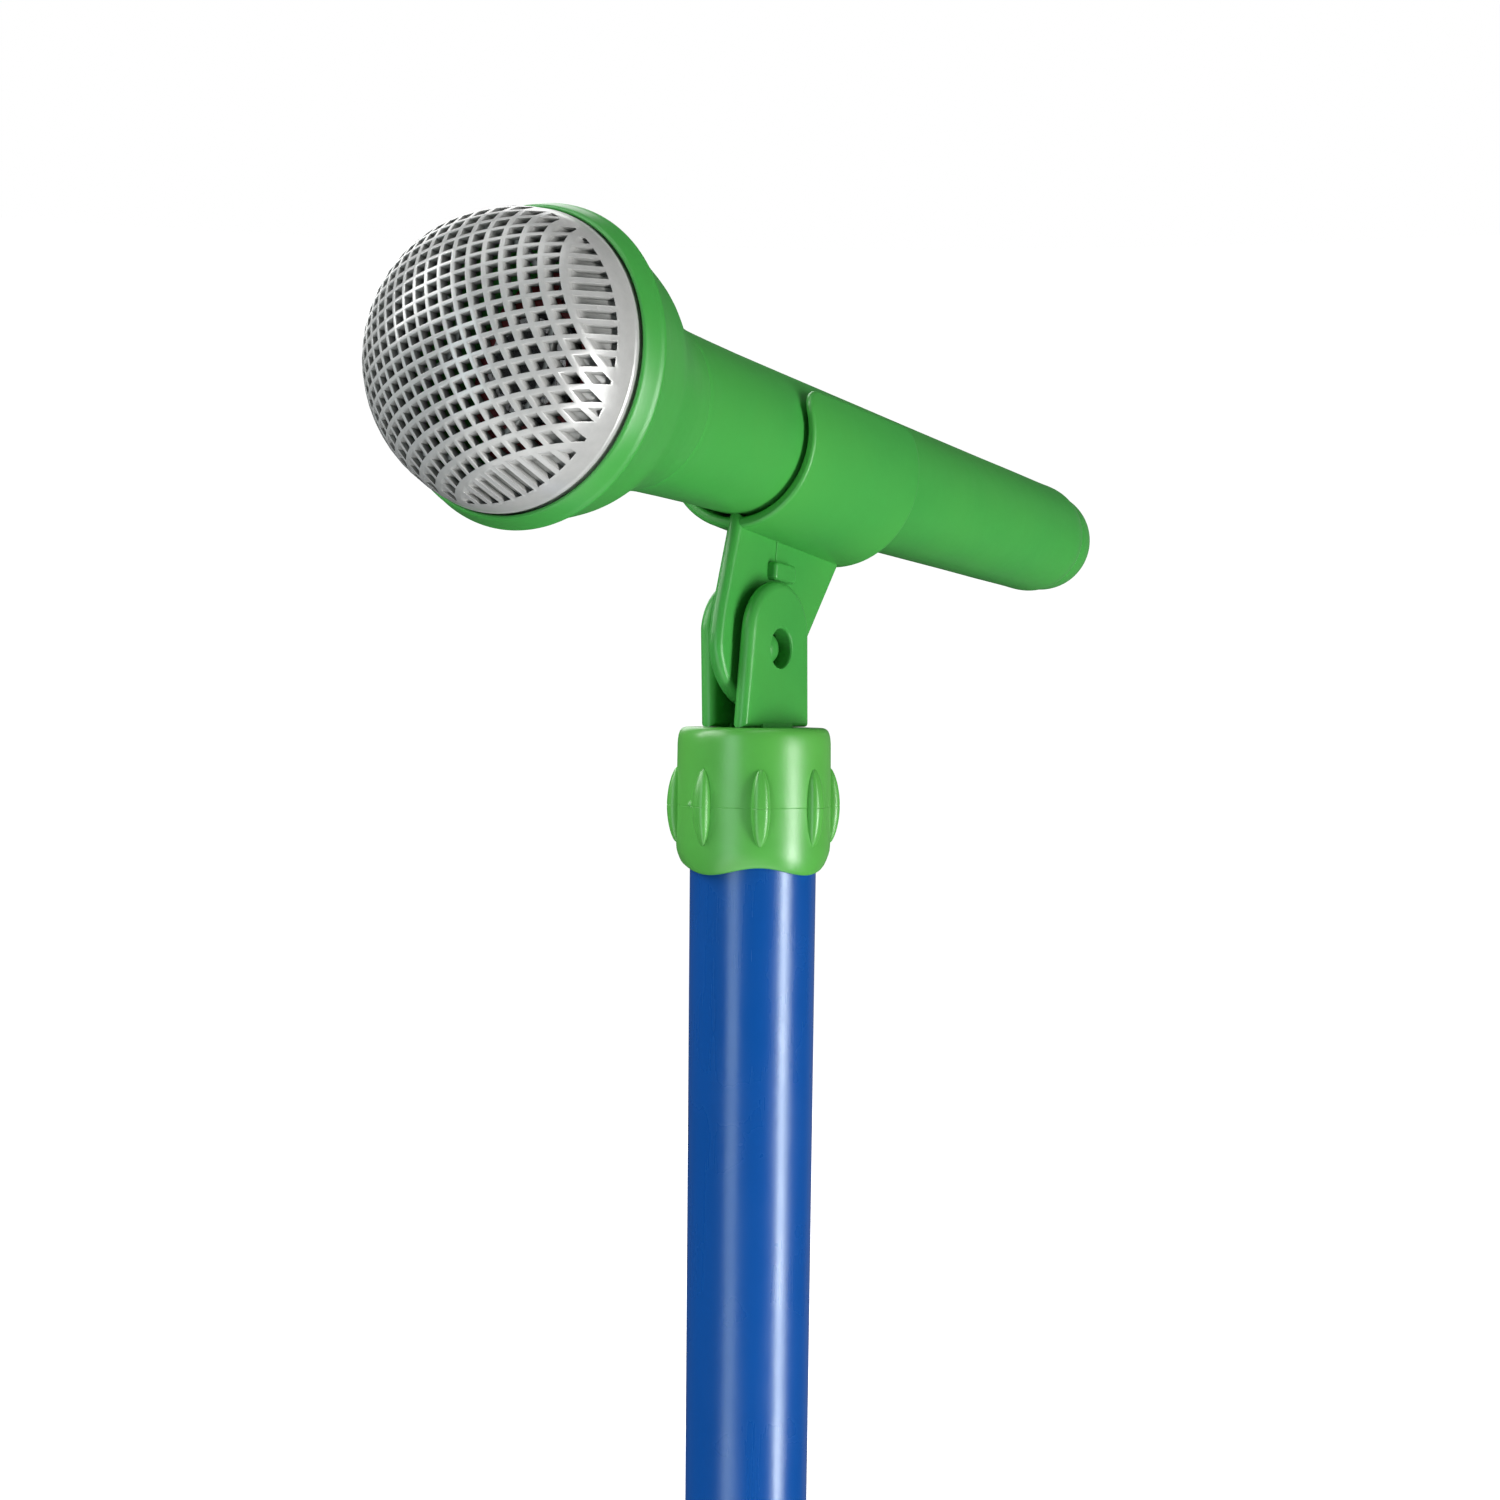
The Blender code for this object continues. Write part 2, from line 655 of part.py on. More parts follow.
make_grille(mic_axis)
make_head_cup(mic_axis)
make_capsule_parts(mic_axis)
make_handle(mic_axis)
make_wires(mic_axis, make_tail(mic_axis))
make_clip(tilt_axis)
make_fork(pivot_point)
make_stem_end(pivot_point)
make_collar(pivot_point)
make_collet(pivot_point)
make_tube(pivot_point)
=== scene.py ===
"""Looks for the toy microphone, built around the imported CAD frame.

Shapes are written in millimetres, in local frames that the record's joints place. STAND has its origin at
the tilt pivot and world axes, and TILT has z along the microphone. MIC is TILT moved onto the microphone's
own axis, and GRILLE is MIC moved to the ball's centre.
"""

import json
import math

import bmesh
import bpy
import numpy as np
from mathutils import Matrix, Vector
from mathutils.geometry import delaunay_2d_cdt


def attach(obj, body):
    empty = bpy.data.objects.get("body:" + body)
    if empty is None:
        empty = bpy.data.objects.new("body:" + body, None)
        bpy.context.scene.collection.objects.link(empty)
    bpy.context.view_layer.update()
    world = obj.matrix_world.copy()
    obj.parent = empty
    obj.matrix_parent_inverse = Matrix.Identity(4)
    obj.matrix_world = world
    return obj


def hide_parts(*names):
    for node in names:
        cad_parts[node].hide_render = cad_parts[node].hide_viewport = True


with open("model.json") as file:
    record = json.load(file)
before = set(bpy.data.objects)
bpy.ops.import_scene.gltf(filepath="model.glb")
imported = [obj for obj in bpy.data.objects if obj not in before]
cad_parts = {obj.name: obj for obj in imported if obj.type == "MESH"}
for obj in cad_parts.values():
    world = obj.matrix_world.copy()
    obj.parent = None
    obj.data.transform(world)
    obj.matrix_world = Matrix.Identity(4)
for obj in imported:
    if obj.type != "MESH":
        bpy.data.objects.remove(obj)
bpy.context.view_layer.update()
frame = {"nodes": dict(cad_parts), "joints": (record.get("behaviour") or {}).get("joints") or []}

MM = 0.001
PIVOT_TO_MIC_AXIS = 36.3

# Angles between faces, in degrees, above which an edge stays sharp
SHARP = 32.0
COLLAR_SHARP = 34.0
GRILLE_SHARP = 38.0
TURNED_SHARP = 40.0

LEAST_WIDTH = 1e-4  # narrower triangles are rounding errors along a straight border
ON_AXIS = 1e-6
LEAST_RISE = 1e-12
MERGE_DISTANCE = 1e-7
ROUNDING_SHARE = 0.49  # of a side's length, the most that a corner's arc may take
CLEAR_SHARE = 0.45  # of the spacing, kept free between extra points and a border

# Grille
BALL_CENTRE = 73.3
BALL_RADIUS = 23.6
GRID_TURN = 19.0  # degrees about the microphone's axis
PITCH = 2.185
RIB = 0.68
FIN = 0.84  # the ribs between the slots outside the square field
FIELD = 9  # rows of openings on each side of the centre
FIELD_EDGE = 19.22  # a wider band closes the square field
SLOT_EDGE = 19.95
SLOT_REACH = 22.85
POCKET_REACH = 20.6  # openings centred further out have a floor instead of going through
RIB_EDGE = 0.20
RIB_EDGE_STEPS = 4
LEAST_AREA = 0.45  # smaller openings are left out
LEAST_SIDE = 0.5
ON_ARC = 1e-6
CIRCLE_STEPS = 160
INNER_CENTRE = -1.0  # the inside surface is a flatter ball, below the outer one's centre
INNER_RADIUS = 22.95
THICK_FROM = 17.5  # the shell thickens by THICK_EXTRA over THICK_BAND, going outwards
THICK_BAND = 2.5
THICK_EXTRA = 1.7
POCKET_DEPTH = 2.5
POCKET_SLOPE = 0.3  # extra depth for each mm outside POCKET_SLOPE_FROM
POCKET_SLOPE_FROM = 20.0
POCKET_SPACING = 0.5
TOP_REACH = 23.3
UNDERSIDE_REACH = 22.3
RING_RIB_WIDTH = 0.8
RING_RIBS = ((5.7, 1.1), (17.2, 1.2))  # radius, depth
FULL_SHADE_DEPTH = 1.5  # how far under the ball's surface the painted shade of the recesses is full, and where it starts
SHADE_START_DEPTH = 0.35

# Cup
POST_CIRCLE = 13.8
POST_RADIUS = 2.4
POST_HOLE = 1.5
POST_FOOT = 48.0
POST_HOLE_FOOT = 52.5
POST_TOP = 58.2

# Clip
SLEEVE_FRONT = 9.3
SLEEVE_REAR = -27.5
SLEEVE_THICKNESS = 2.4
SLEEVE_MEAN = 15.5  # the radius at which the flat sleeve keeps its length
OPENING_HALF_ANGLE = 54.0
OPENING_SLOPE = 1.7  # the opening is a little wider at the rear
OUTER_RADII = (16.9, 15.6)  # at the rear and the front, like the next two
OUTER_DROPS = (1.2, 0.38)
BORE_RADII = (13.35, 14.0)
TONGUE_HALF = 1.5
TONGUE_HOLE = 3.35

# Fork
EAR_BASE = -14.0
EAR_HALF_WIDTH = 11.1
EAR_RADIUS = 9.8
EAR_CENTRE = (0.0, 2.1)
EAR_INSIDE = 1.85
EAR_OUTSIDE = 4.95
SPLAY = {-1: (-0.35, 0.75), 1: (0.15, 0.60)}  # how far each ear stands outwards at its base and at the pivot
PIN_HOLE = 3.5

# Collar
RIB_COUNT = 8
RIB_ANGLE = -52.9
RIB_HALF_HEIGHT = 6.8
RIB_HALF_WIDTH = 1.66
RIB_RISE = 1.72
SECTOR_COLUMNS = 52
WAVE_HEIGHT = 1.45  # of the lower edge
WAVE_TOP = -34.0
WAVE_REACH = 5.95
COLLAR_TOP = -14.06
COLLAR_FOOT = -39.95
COLLAR_RADIUS = 13.8
COLLAR_BORE = 11.6
COLLAR_ROOF = -18.9
COLLAR_MOUTH = 7.8
COLLAR_SEAM = -28.0
SEAM_DEPTH = 0.06
GATE = math.radians(-59.5)  # a gate mark beside one rib, from the first rib
GATE_RISE = 0.5


# ---------------------------------------------------------------- frames


def joint(name):
    return next(j for j in frame["joints"] if j["name"] == name)


def matrix(origin, across, up, along):
    return Matrix.Translation(origin) @ Matrix((across, up, along)).transposed().to_4x4()


PIVOT = Vector(joint("mic_tilt")["pos_m"])
ALONG = Vector(joint("mic_slide")["axis"]).normalized()
ACROSS = Vector((1.0, 0.0, 0.0))
UP = ALONG.cross(ACROSS)
STAND = Matrix.Translation(PIVOT)
TILT = matrix(PIVOT, ACROSS, UP, ALONG)
MIC = matrix(PIVOT + UP * PIVOT_TO_MIC_AXIS * MM, ACROSS, UP, ALONG)


# ---------------------------------------------------------------- mesh helpers


def rounded(corners, closed=True, most=12.0):
    """Points along corners (x, y, radius), with each corner's arc filled in at `most` degrees a step."""
    points = []
    for i, (x, y, radius) in enumerate(corners):
        if not radius or (not closed and i in (0, len(corners) - 1)):
            points.append((x, y))
            continue
        here = Vector((x, y))
        before = Vector(corners[i - 1][:2]) - here
        after = Vector(corners[(i + 1) % len(corners)][:2]) - here
        room = ROUNDING_SHARE * min(before.length, after.length)
        before.normalize()
        after.normalize()
        half = before.angle(after) / 2
        reach = min(radius / math.tan(half), room)
        centre = here + (before + after).normalized() * reach / math.cos(half)
        start = here + before * reach - centre
        end = here + after * reach - centre
        turn = math.atan2(start.x * end.y - start.y * end.x, start.dot(end))
        steps = max(2, math.ceil(abs(math.degrees(turn)) / most))
        for k in range(steps + 1):
            angle = turn * k / steps
            cos, sin = math.cos(angle), math.sin(angle)
            across = centre.x + start.x * cos - start.y * sin
            points.append((across, centre.y + start.x * sin + start.y * cos))
    return points


def lathe(profile, steps, closed=True):
    """Vertices and faces of (radius, height) points turned about z.

    An open profile starts and ends on the axis.
    """
    verts, rows = [], []
    for radius, height in profile:
        if radius < ON_AXIS:
            rows.append([len(verts)] * steps)
            verts.append((0.0, 0.0, height))
            continue
        rows.append(list(range(len(verts), len(verts) + steps)))
        for k in range(steps):
            angle = 2 * math.pi * k / steps
            verts.append((radius * math.cos(angle), radius * math.sin(angle), height))
    faces = []
    pairs = list(zip(rows, rows[1:]))
    if closed:
        pairs.append((rows[-1], rows[0]))
    for upper, lower in pairs:
        for k in range(steps):
            after = (k + 1) % steps
            face = list(dict.fromkeys((upper[k], lower[k], lower[after], upper[after])))
            if len(face) > 2:
                faces.append(face)
    return verts, faces


def inset(loop, distance):
    """A closed loop moved to its left by a distance, with mitred corners."""
    points = np.array(loop, float)
    before = points - np.roll(points, 1, 0)
    after = np.roll(points, -1, 0) - points
    before /= np.linalg.norm(before, axis=1)[:, None]
    after /= np.linalg.norm(after, axis=1)[:, None]
    left_before = np.stack([-before[:, 1], before[:, 0]], 1)
    left_after = np.stack([-after[:, 1], after[:, 0]], 1)
    middle = left_before + left_after
    middle /= np.linalg.norm(middle, axis=1)[:, None]
    reach = np.clip((middle * left_after).sum(1), 0.5, 1.0)
    return points + middle * (distance / reach)[:, None]


def inside(points, loops):
    """Whether each point is inside the loops, by the even-odd rule."""
    found = np.zeros(len(points), bool)
    x, y = points[:, :1], points[:, 1:]
    for loop in loops:
        a = np.asarray(loop, float)
        b = np.roll(a, -1, 0)
        rise = b[:, 1] - a[:, 1]
        rise = np.where(np.abs(rise) < LEAST_RISE, LEAST_RISE, rise)
        level = (a[:, 1] > y) != (b[:, 1] > y)
        crosses = level & (x < (b[:, 0] - a[:, 0]) * (y - a[:, 1]) / rise + a[:, 0])
        found ^= (crosses.sum(1) % 2).astype(bool)
    return found


def fill(loops, spacing=None):
    """Triangles of the area inside the loops.

    Returns the extra inner points, and faces that index the loops' points in order, then the extra ones.
    """
    points = [tuple(p) for loop in loops for p in loop]
    edges, first = [], 0
    for loop in loops:
        count = len(loop)
        edges += [(first + k, first + (k + 1) % count) for k in range(count)]
        first += count
    extra = []
    if spacing:
        edge_points = np.array(points)
        low, high = edge_points.min(0), edge_points.max(0)
        across = np.arange(low[0] + spacing / 2, high[0], spacing)
        up = np.arange(low[1] + spacing / 2, high[1], spacing)
        grid = np.array([(a, b) for a in across for b in up])
        grid = grid[inside(grid, loops)]
        near = np.sqrt(((grid[:, None] - edge_points[None]) ** 2).sum(2)).min(1)
        extra = [tuple(p) for p in grid[near > CLEAR_SHARE * spacing]]
    everything = [Vector(p) for p in points + extra]
    out, _, faces, origin, _, _ = delaunay_2d_cdt(everything, edges, [], 0, MERGE_DISTANCE)
    index = [found[0] for found in origin]
    flat = np.array([tuple(p) for p in out])
    faces = np.array([tuple(f) for f in faces])
    corner = flat[faces]
    a, b = corner[:, 1] - corner[:, 0], corner[:, 2] - corner[:, 0]
    longest = np.linalg.norm(corner - np.roll(corner, 1, 1), axis=2).max(1)
    wide = np.abs(a[:, 0] * b[:, 1] - a[:, 1] * b[:, 0]) > LEAST_WIDTH * longest
    kept = faces[inside(corner.mean(1), loops) & wide]
    return extra, [tuple(index[v] for v in face) for face in kept.tolist()]


def sheet(loops, low, high, edge, shape, spacing=None, steps=4):
    """A plate with rounded edges. The outer loop runs counter-clockwise and holes clockwise.

    shape(u, v, w) places a point, with w from low to high.
    """
    turns = [math.pi / 2 * k / steps for k in range(steps + 1)]
    levels = [(edge - edge * math.sin(t), high - edge + edge * math.cos(t)) for t in turns]
    levels += [(edge - edge * math.sin(t), low + edge - edge * math.cos(t)) for t in reversed(turns)]
    verts, faces, caps = [], [], []
    for distance, height in levels:
        first = len(verts)
        caps.append(first)
        for loop in loops:
            verts += [(u, v, height) for u, v in inset(loop, distance)]
    first = 0
    for loop in loops:
        count = len(loop)
        for a, b in zip(caps, caps[1:]):
            for k in range(count):
                after = (k + 1) % count
                faces.append((a + first + k, b + first + k, b + first + after, a + first + after))
        first += count
    extra, triangles = fill([inset(loop, edge) for loop in loops], spacing)
    total = first
    for cap, height, turned in ((caps[0], high, False), (caps[-1], low, True)):
        start = len(verts)
        verts += [(u, v, height) for u, v in extra]
        for face in triangles:
            face = [cap + v if v < total else start + v - total for v in face]
            faces.append(face[::-1] if turned else face)
    return [shape(*v) for v in verts], faces


def mesh_object(name, shape, place, sharp=SHARP):
    """A smooth object from vertices in millimetres and faces, in the frame `place`."""
    verts, faces = shape
    mesh = bpy.data.meshes.new(name)
    mesh.from_pydata([(x * MM, y * MM, z * MM) for x, y, z in verts], [], faces)
    work = bmesh.new()
    work.from_mesh(mesh)
    bmesh.ops.recalc_face_normals(work, faces=work.faces)
    work.to_mesh(mesh)
    work.free()
    mesh.shade_smooth()
    mesh.set_sharp_from_angle(angle=math.radians(sharp))
    obj = bpy.data.objects.new(name, mesh)
    bpy.context.scene.collection.objects.link(obj)
    obj.matrix_world = place
    return obj


def finished(obj, body, nodes, material):
    """Gives a shape its material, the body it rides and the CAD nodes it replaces."""
    obj.data.materials.clear()
    obj.data.materials.append(material)
    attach(obj, body)
    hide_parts(*nodes)
    return obj


def piece(name, shape, place, body, nodes, material, sharp=SHARP):
    return finished(mesh_object(name, shape, place, sharp), body, nodes, material)


def boolean(obj, other, operation, sharp=SHARP):
    """Joins or cuts another object into obj for good, and removes the other."""
    modifier = obj.modifiers.new("Boolean", "BOOLEAN")
    modifier.operation = operation
    modifier.solver = "EXACT"
    modifier.object = other
    bpy.context.view_layer.update()
    evaluated = obj.evaluated_get(bpy.context.evaluated_depsgraph_get())
    mesh = bpy.data.meshes.new_from_object(evaluated)
    obj.modifiers.clear()
    obj.data = mesh
    bpy.data.objects.remove(other, do_unlink=True)
    mesh.shade_smooth()
    mesh.set_sharp_from_angle(angle=math.radians(sharp))
    return obj


def weighted(obj):
    modifier = obj.modifiers.new("Weighted normals", "WEIGHTED_NORMAL")
    modifier.keep_sharp = True
    modifier.weight = 60


# ---------------------------------------------------------------- materials


# Noise scales, in features a metre
DRIFT = 28.0
SMEAR = 55.0
WAVE = 140.0
PAINT_SMEAR = 160.0
SCRATCHES = 260.0
METAL_DULLING = 300.0
PAINT_MOTTLE = 380.0
MOTTLE = 420.0
TRACKS = 900.0
BRUSHING = 2600.0
TUFTS = 3800.0
GRAIN = 5200.0

# Bump distances, in metres
WAVE_BUMP = 0.0004
TUFT_BUMP = 0.0003
RIPPLE_BUMP = 0.0002
GRAIN_BUMP = 0.00006
TRACK_BUMP = 0.00005
BRUSHED_BUMP = 0.00004

# Noise stretches: the pattern is long where the number is small
ACROSS_Y = (1.0, 0.06, 0.9)
ALONG_Z = (1.0, 1.0, 0.05)

WHITE = (1.0, 1.0, 1.0)


class Nodes:
    """A small builder for one material's node tree."""

    def __init__(self, name):
        self.material = bpy.data.materials.new(name)
        self.material.use_nodes = True
        self.tree = self.material.node_tree
        self.shader = self.tree.nodes["Principled BSDF"]
        self.place = self.tree.nodes.new("ShaderNodeTexCoord").outputs["Object"]

    def set(self, **values):
        for name, value in values.items():
            self.shader.inputs[name.replace("_", " ")].default_value = value

    def link(self, output, name):
        self.tree.links.new(output, self.shader.inputs[name])

    def noise(self, scale, detail=3.0, stretch=(1.0, 1.0, 1.0), roughness=0.5):
        mapping = self.tree.nodes.new("ShaderNodeMapping")
        mapping.inputs["Scale"].default_value = stretch
        self.tree.links.new(self.place, mapping.inputs["Vector"])
        node = self.tree.nodes.new("ShaderNodeTexNoise")
        node.inputs["Scale"].default_value = scale
        node.inputs["Detail"].default_value = detail
        node.inputs["Roughness"].default_value = roughness
        self.tree.links.new(mapping.outputs["Vector"], node.inputs["Vector"])
        return node.outputs["Fac"]

    def ranged(self, value, low, high, start=0.3, end=0.7):
        node = self.tree.nodes.new("ShaderNodeMapRange")
        self.tree.links.new(value, node.inputs["Value"])
        for name, number in (("From Min", start), ("From Max", end), ("To Min", low), ("To Max", high)):
            node.inputs[name].default_value = number
        return node.outputs["Result"]

    def math(self, operation, a, b):
        node = self.tree.nodes.new("ShaderNodeMath")
        node.operation = operation
        for socket, value in zip(node.inputs, (a, b)):
            if isinstance(value, (int, float)):
                socket.default_value = value
            else:
                self.tree.links.new(value, socket)
        return node.outputs["Value"]

    def mixed(self, factor, first, second):
        node = self.tree.nodes.new("ShaderNodeMix")
        node.data_type = "RGBA"
        self.tree.links.new(factor, node.inputs["Factor"])
        for socket, value in ((node.inputs[6], first), (node.inputs[7], second)):
            if isinstance(value, tuple):
                socket.default_value = (*value, 1.0)
            else:
                self.tree.links.new(value, socket)
        return node.outputs[2]

    def bump(self, *layers):
        """Layers are (height output, strength, distance in metres)."""
        before = None
        for height, strength, distance in layers:
            node = self.tree.nodes.new("ShaderNodeBump")
            node.inputs["Strength"].default_value = strength
            node.inputs["Distance"].default_value = distance
            self.tree.links.new(height, node.inputs["Height"])
            if before:
                self.tree.links.new(before, node.inputs["Normal"])
            before = node.outputs["Normal"]
        self.link(before, "Normal")


def shade(colour, amount):
    return tuple(min(1.0, c * amount) for c in colour)


def plastic(name, colour, rough, variation, grain=0.12, specular=0.5, warm=None, along=ACROSS_Y, tint=WHITE):
    """Moulded plastic: slow colour drift, a finer mottle, faint handling scratches and a moulded grain.

    `warm` is the colour that it drifts to, `along` stretches the scratches and `tint` colours the gloss.
    """
    nodes = Nodes(name)
    drift = nodes.ranged(nodes.noise(DRIFT, 2.0), 0.0, 1.0)
    base = nodes.mixed(drift, shade(colour, 1 - variation), shade(warm or colour, 1 + variation))
    mottle = nodes.ranged(nodes.noise(MOTTLE, 4.0, roughness=0.6), 0.0, 0.35, 0.45, 0.75)
    nodes.link(nodes.mixed(mottle, base, shade(colour, 1 + 2.2 * variation)), "Base Color")
    scratches = nodes.ranged(nodes.noise(SCRATCHES, 5.0, along, 0.7), 0.0, 0.05, 0.50, 0.74)
    smear = nodes.ranged(nodes.noise(SMEAR, 4.0), rough[0], rough[1])
    nodes.link(nodes.math("ADD", smear, scratches), "Roughness")
    fine = nodes.noise(GRAIN, 3.0, roughness=0.65)
    wave = nodes.noise(WAVE, 2.0)
    nodes.bump((wave, 0.10, WAVE_BUMP), (fine, grain, GRAIN_BUMP))
    nodes.set(Specular_IOR_Level=specular, Specular_Tint=(*tint, 1.0))
    return nodes.material


def silver_with_painted_shade(name, colour, recess_shade_colour, rough):
    """Silver paint on a ball, with painted shade in its recesses: deeper surfaces get a dark colour, less
    metal and more roughness.
    """
    nodes = Nodes(name)
    mottle = nodes.ranged(nodes.noise(PAINT_MOTTLE, 5.0, roughness=0.65), 0.0, 1.0)
    paint = nodes.mixed(mottle, shade(colour, 0.93), shade(colour, 1.06))
    length = nodes.tree.nodes.new("ShaderNodeVectorMath")
    length.operation = "LENGTH"
    nodes.tree.links.new(nodes.place, length.inputs[0])
    high = BALL_RADIUS * MM
    full_shade_radius, shade_start_radius = high - FULL_SHADE_DEPTH * MM, high - SHADE_START_DEPTH * MM
    # 1 near the ball's outer surface, 0 deep in the recesses where the painted shade is full
    unshaded_share = nodes.ranged(length.outputs["Value"], 0.0, 1.0, full_shade_radius, shade_start_radius)
    # painted shade: deep surfaces take the dark colour, standing in for shadow in the recesses
    nodes.link(nodes.mixed(unshaded_share, recess_shade_colour, paint), "Base Color")
    nodes.link(nodes.ranged(unshaded_share, 0.02, 0.12, 0.0, 1.0), "Metallic")
    smear = nodes.ranged(nodes.noise(PAINT_SMEAR, 4.0), rough[0], rough[1])
    nodes.link(nodes.math("ADD", smear, nodes.ranged(unshaded_share, 0.25, 0.0, 0.0, 1.0)), "Roughness")
    ripple = nodes.noise(MOTTLE, 3.0)
    fine = nodes.noise(GRAIN, 3.0, roughness=0.65)
    nodes.bump((ripple, 0.25, RIPPLE_BUMP), (fine, 0.15, GRAIN_BUMP))
    nodes.set(Specular_IOR_Level=0.5)
    return nodes.material


def metal(name, colour, rough=(0.22, 0.38)):
    """Metal with fine marks along its z axis and duller patches."""
    nodes = Nodes(name)
    streaks = nodes.noise(BRUSHING, 4.0, ALONG_Z, 0.7)
    dull = nodes.ranged(nodes.noise(METAL_DULLING, 4.0), 0.0, 1.0)
    nodes.link(nodes.mixed(dull, shade(colour, 0.86), shade(colour, 1.06)), "Base Color")
    nodes.link(nodes.ranged(streaks, rough[0], rough[1]), "Roughness")
    nodes.bump((streaks, 0.12, BRUSHED_BUMP))
    nodes.set(Metallic=1.0)
    return nodes.material


def fibre(name, colour):
    """Felt: dark and light tufts that stand up."""
    nodes = Nodes(name)
    tufts = nodes.noise(TUFTS, 6.0, roughness=0.75)
    light = nodes.ranged(tufts, 0.0, 1.0)
    nodes.link(nodes.mixed(light, shade(colour, 0.6), shade(colour, 1.5)), "Base Color")
    nodes.bump((tufts, 0.7, TUFT_BUMP))
    nodes.set(Roughness=0.95, Sheen_Weight=0.4)
    return nodes.material


def laminate(name, colour):
    """Circuit board: solder mask with faint copper tracks showing through."""
    nodes = Nodes(name)
    bands = nodes.tree.nodes.new("ShaderNodeTexBrick")
    bands.inputs["Scale"].default_value = TRACKS
    bands.inputs["Mortar Size"].default_value = 0.12
    nodes.tree.links.new(nodes.place, bands.inputs["Vector"])
    nodes.link(nodes.mixed(bands.outputs["Fac"], colour, shade(colour, 1.8)), "Base Color")
    nodes.bump((bands.outputs["Fac"], 0.4, TRACK_BUMP))
    nodes.set(Roughness=0.35)
    return nodes.material


SATIN = (0.28, 0.38)
GREEN = plastic("green_plastic", (0.056, 0.375, 0.066), SATIN, 0.045, 0.12, 0.42, (0.066, 0.38, 0.062))
COLLAR_GREEN = plastic("collar_green", (0.095, 0.435, 0.068), SATIN, 0.045, 0.12, 0.7, (0.108, 0.44, 0.064))
# the dark second colour is painted shade for the grille's recesses
SILVER = silver_with_painted_shade("silver_plastic", (0.545, 0.545, 0.53), (0.12, 0.125, 0.115), (0.18, 0.28))
BLUE_TINT = (0.86, 0.97, 1.0)
GLOSSY = (0.24, 0.31)
BLUE = plastic("blue_plastic", (0.0010, 0.078, 0.352), GLOSSY, 0.03, 0.05, 0.75, None, ALONG_Z, BLUE_TINT)
BLACK = plastic("black_plastic", (0.02, 0.02, 0.021), (0.38, 0.52), 0.15, 0.25)
RED = plastic("red_plastic", (0.16, 0.010, 0.010), (0.35, 0.50), 0.08)
NATURAL = plastic("natural_plastic", (0.70, 0.69, 0.63), (0.35, 0.50), 0.05)
BOARD = laminate("circuit_board", (0.03, 0.14, 0.045))
CAN = metal("capsule_metal", (0.60, 0.60, 0.61))
STEEL = metal("steel", (0.52, 0.52, 0.53))
NICKEL = metal("nickel", (0.62, 0.60, 0.56), (0.16, 0.30))
FELT = fibre("felt", (0.035, 0.035, 0.035))
RUBBER = plastic("rubber", (0.022, 0.022, 0.023), (0.60, 0.75), 0.15, 0.4, 0.3)
RED_WIRE = plastic("red_wire", (0.40, 0.010, 0.012), (0.35, 0.45), 0.05)
BLACK_WIRE = plastic("black_wire", (0.015, 0.015, 0.016), (0.35, 0.45), 0.12)


# ---------------------------------------------------------------- grille


def outer_height(x, y):
    return math.sqrt(BALL_RADIUS**2 - x * x - y * y)


def inner_height(x, y):
    """The shell is thicker towards the rim, where the openings have floors."""
    share = min(max((math.hypot(x, y) - THICK_FROM) / THICK_BAND, 0.0), 1.0)
    extra = THICK_EXTRA * share * share * (3 - 2 * share)
    return INNER_CENTRE + math.sqrt(max(INNER_RADIUS**2 - x * x - y * y, 0.0)) - extra


def floor_height(x, y):
    """The floor of the openings that don't go through."""
    radius = math.hypot(x, y)
    return outer_height(x, y) - POCKET_DEPTH - POCKET_SLOPE * max(radius - POCKET_SLOPE_FROM, 0.0)


def clipped(x0, x1, y0, y1, reach):
    """The part of a rectangle within `reach` of the centre, counter-clockwise, or None if little is left."""
    corners = [(x0, y0), (x1, y0), (x1, y1), (x0, y1)]
    kept = [c for c in corners if math.hypot(*c) <= reach]
    if len(kept) == 4:
        return corners
    for x in (x0, x1):
        if abs(x) < reach:
            y = math.sqrt(reach**2 - x * x)
            kept += [(x, s * y) for s in (-1, 1) if y0 < s * y < y1]
    for y in (y0, y1):
        if abs(y) < reach:
            x = math.sqrt(reach**2 - y * y)
            kept += [(s * x, y) for s in (-1, 1) if x0 < s * x < x1]
    if len(kept) < 3:
        return None
    centre = np.mean(kept, 0)
    on_arc = [p for p in kept if abs(math.hypot(*p) - reach) < ON_ARC]
    if len(on_arc) == 2:
        a, b = (math.atan2(p[1], p[0]) for p in on_arc)
        turn = (b - a + math.pi) % (2 * math.pi) - math.pi
        kept += [(reach * math.cos(a + turn * k / 3), reach * math.sin(a + turn * k / 3)) for k in (1, 2)]
    kept.sort(key=lambda p: math.atan2(p[1] - centre[1], p[0] - centre[0]))
    a = np.array(kept)
    b = np.roll(a, -1, 0)
    area = 0.5 * (a[:, 0] * b[:, 1] - a[:, 1] * b[:, 0]).sum()
    narrow = min(np.ptp(a, 0))
    return kept if area > LEAST_AREA and narrow > LEAST_SIDE else None


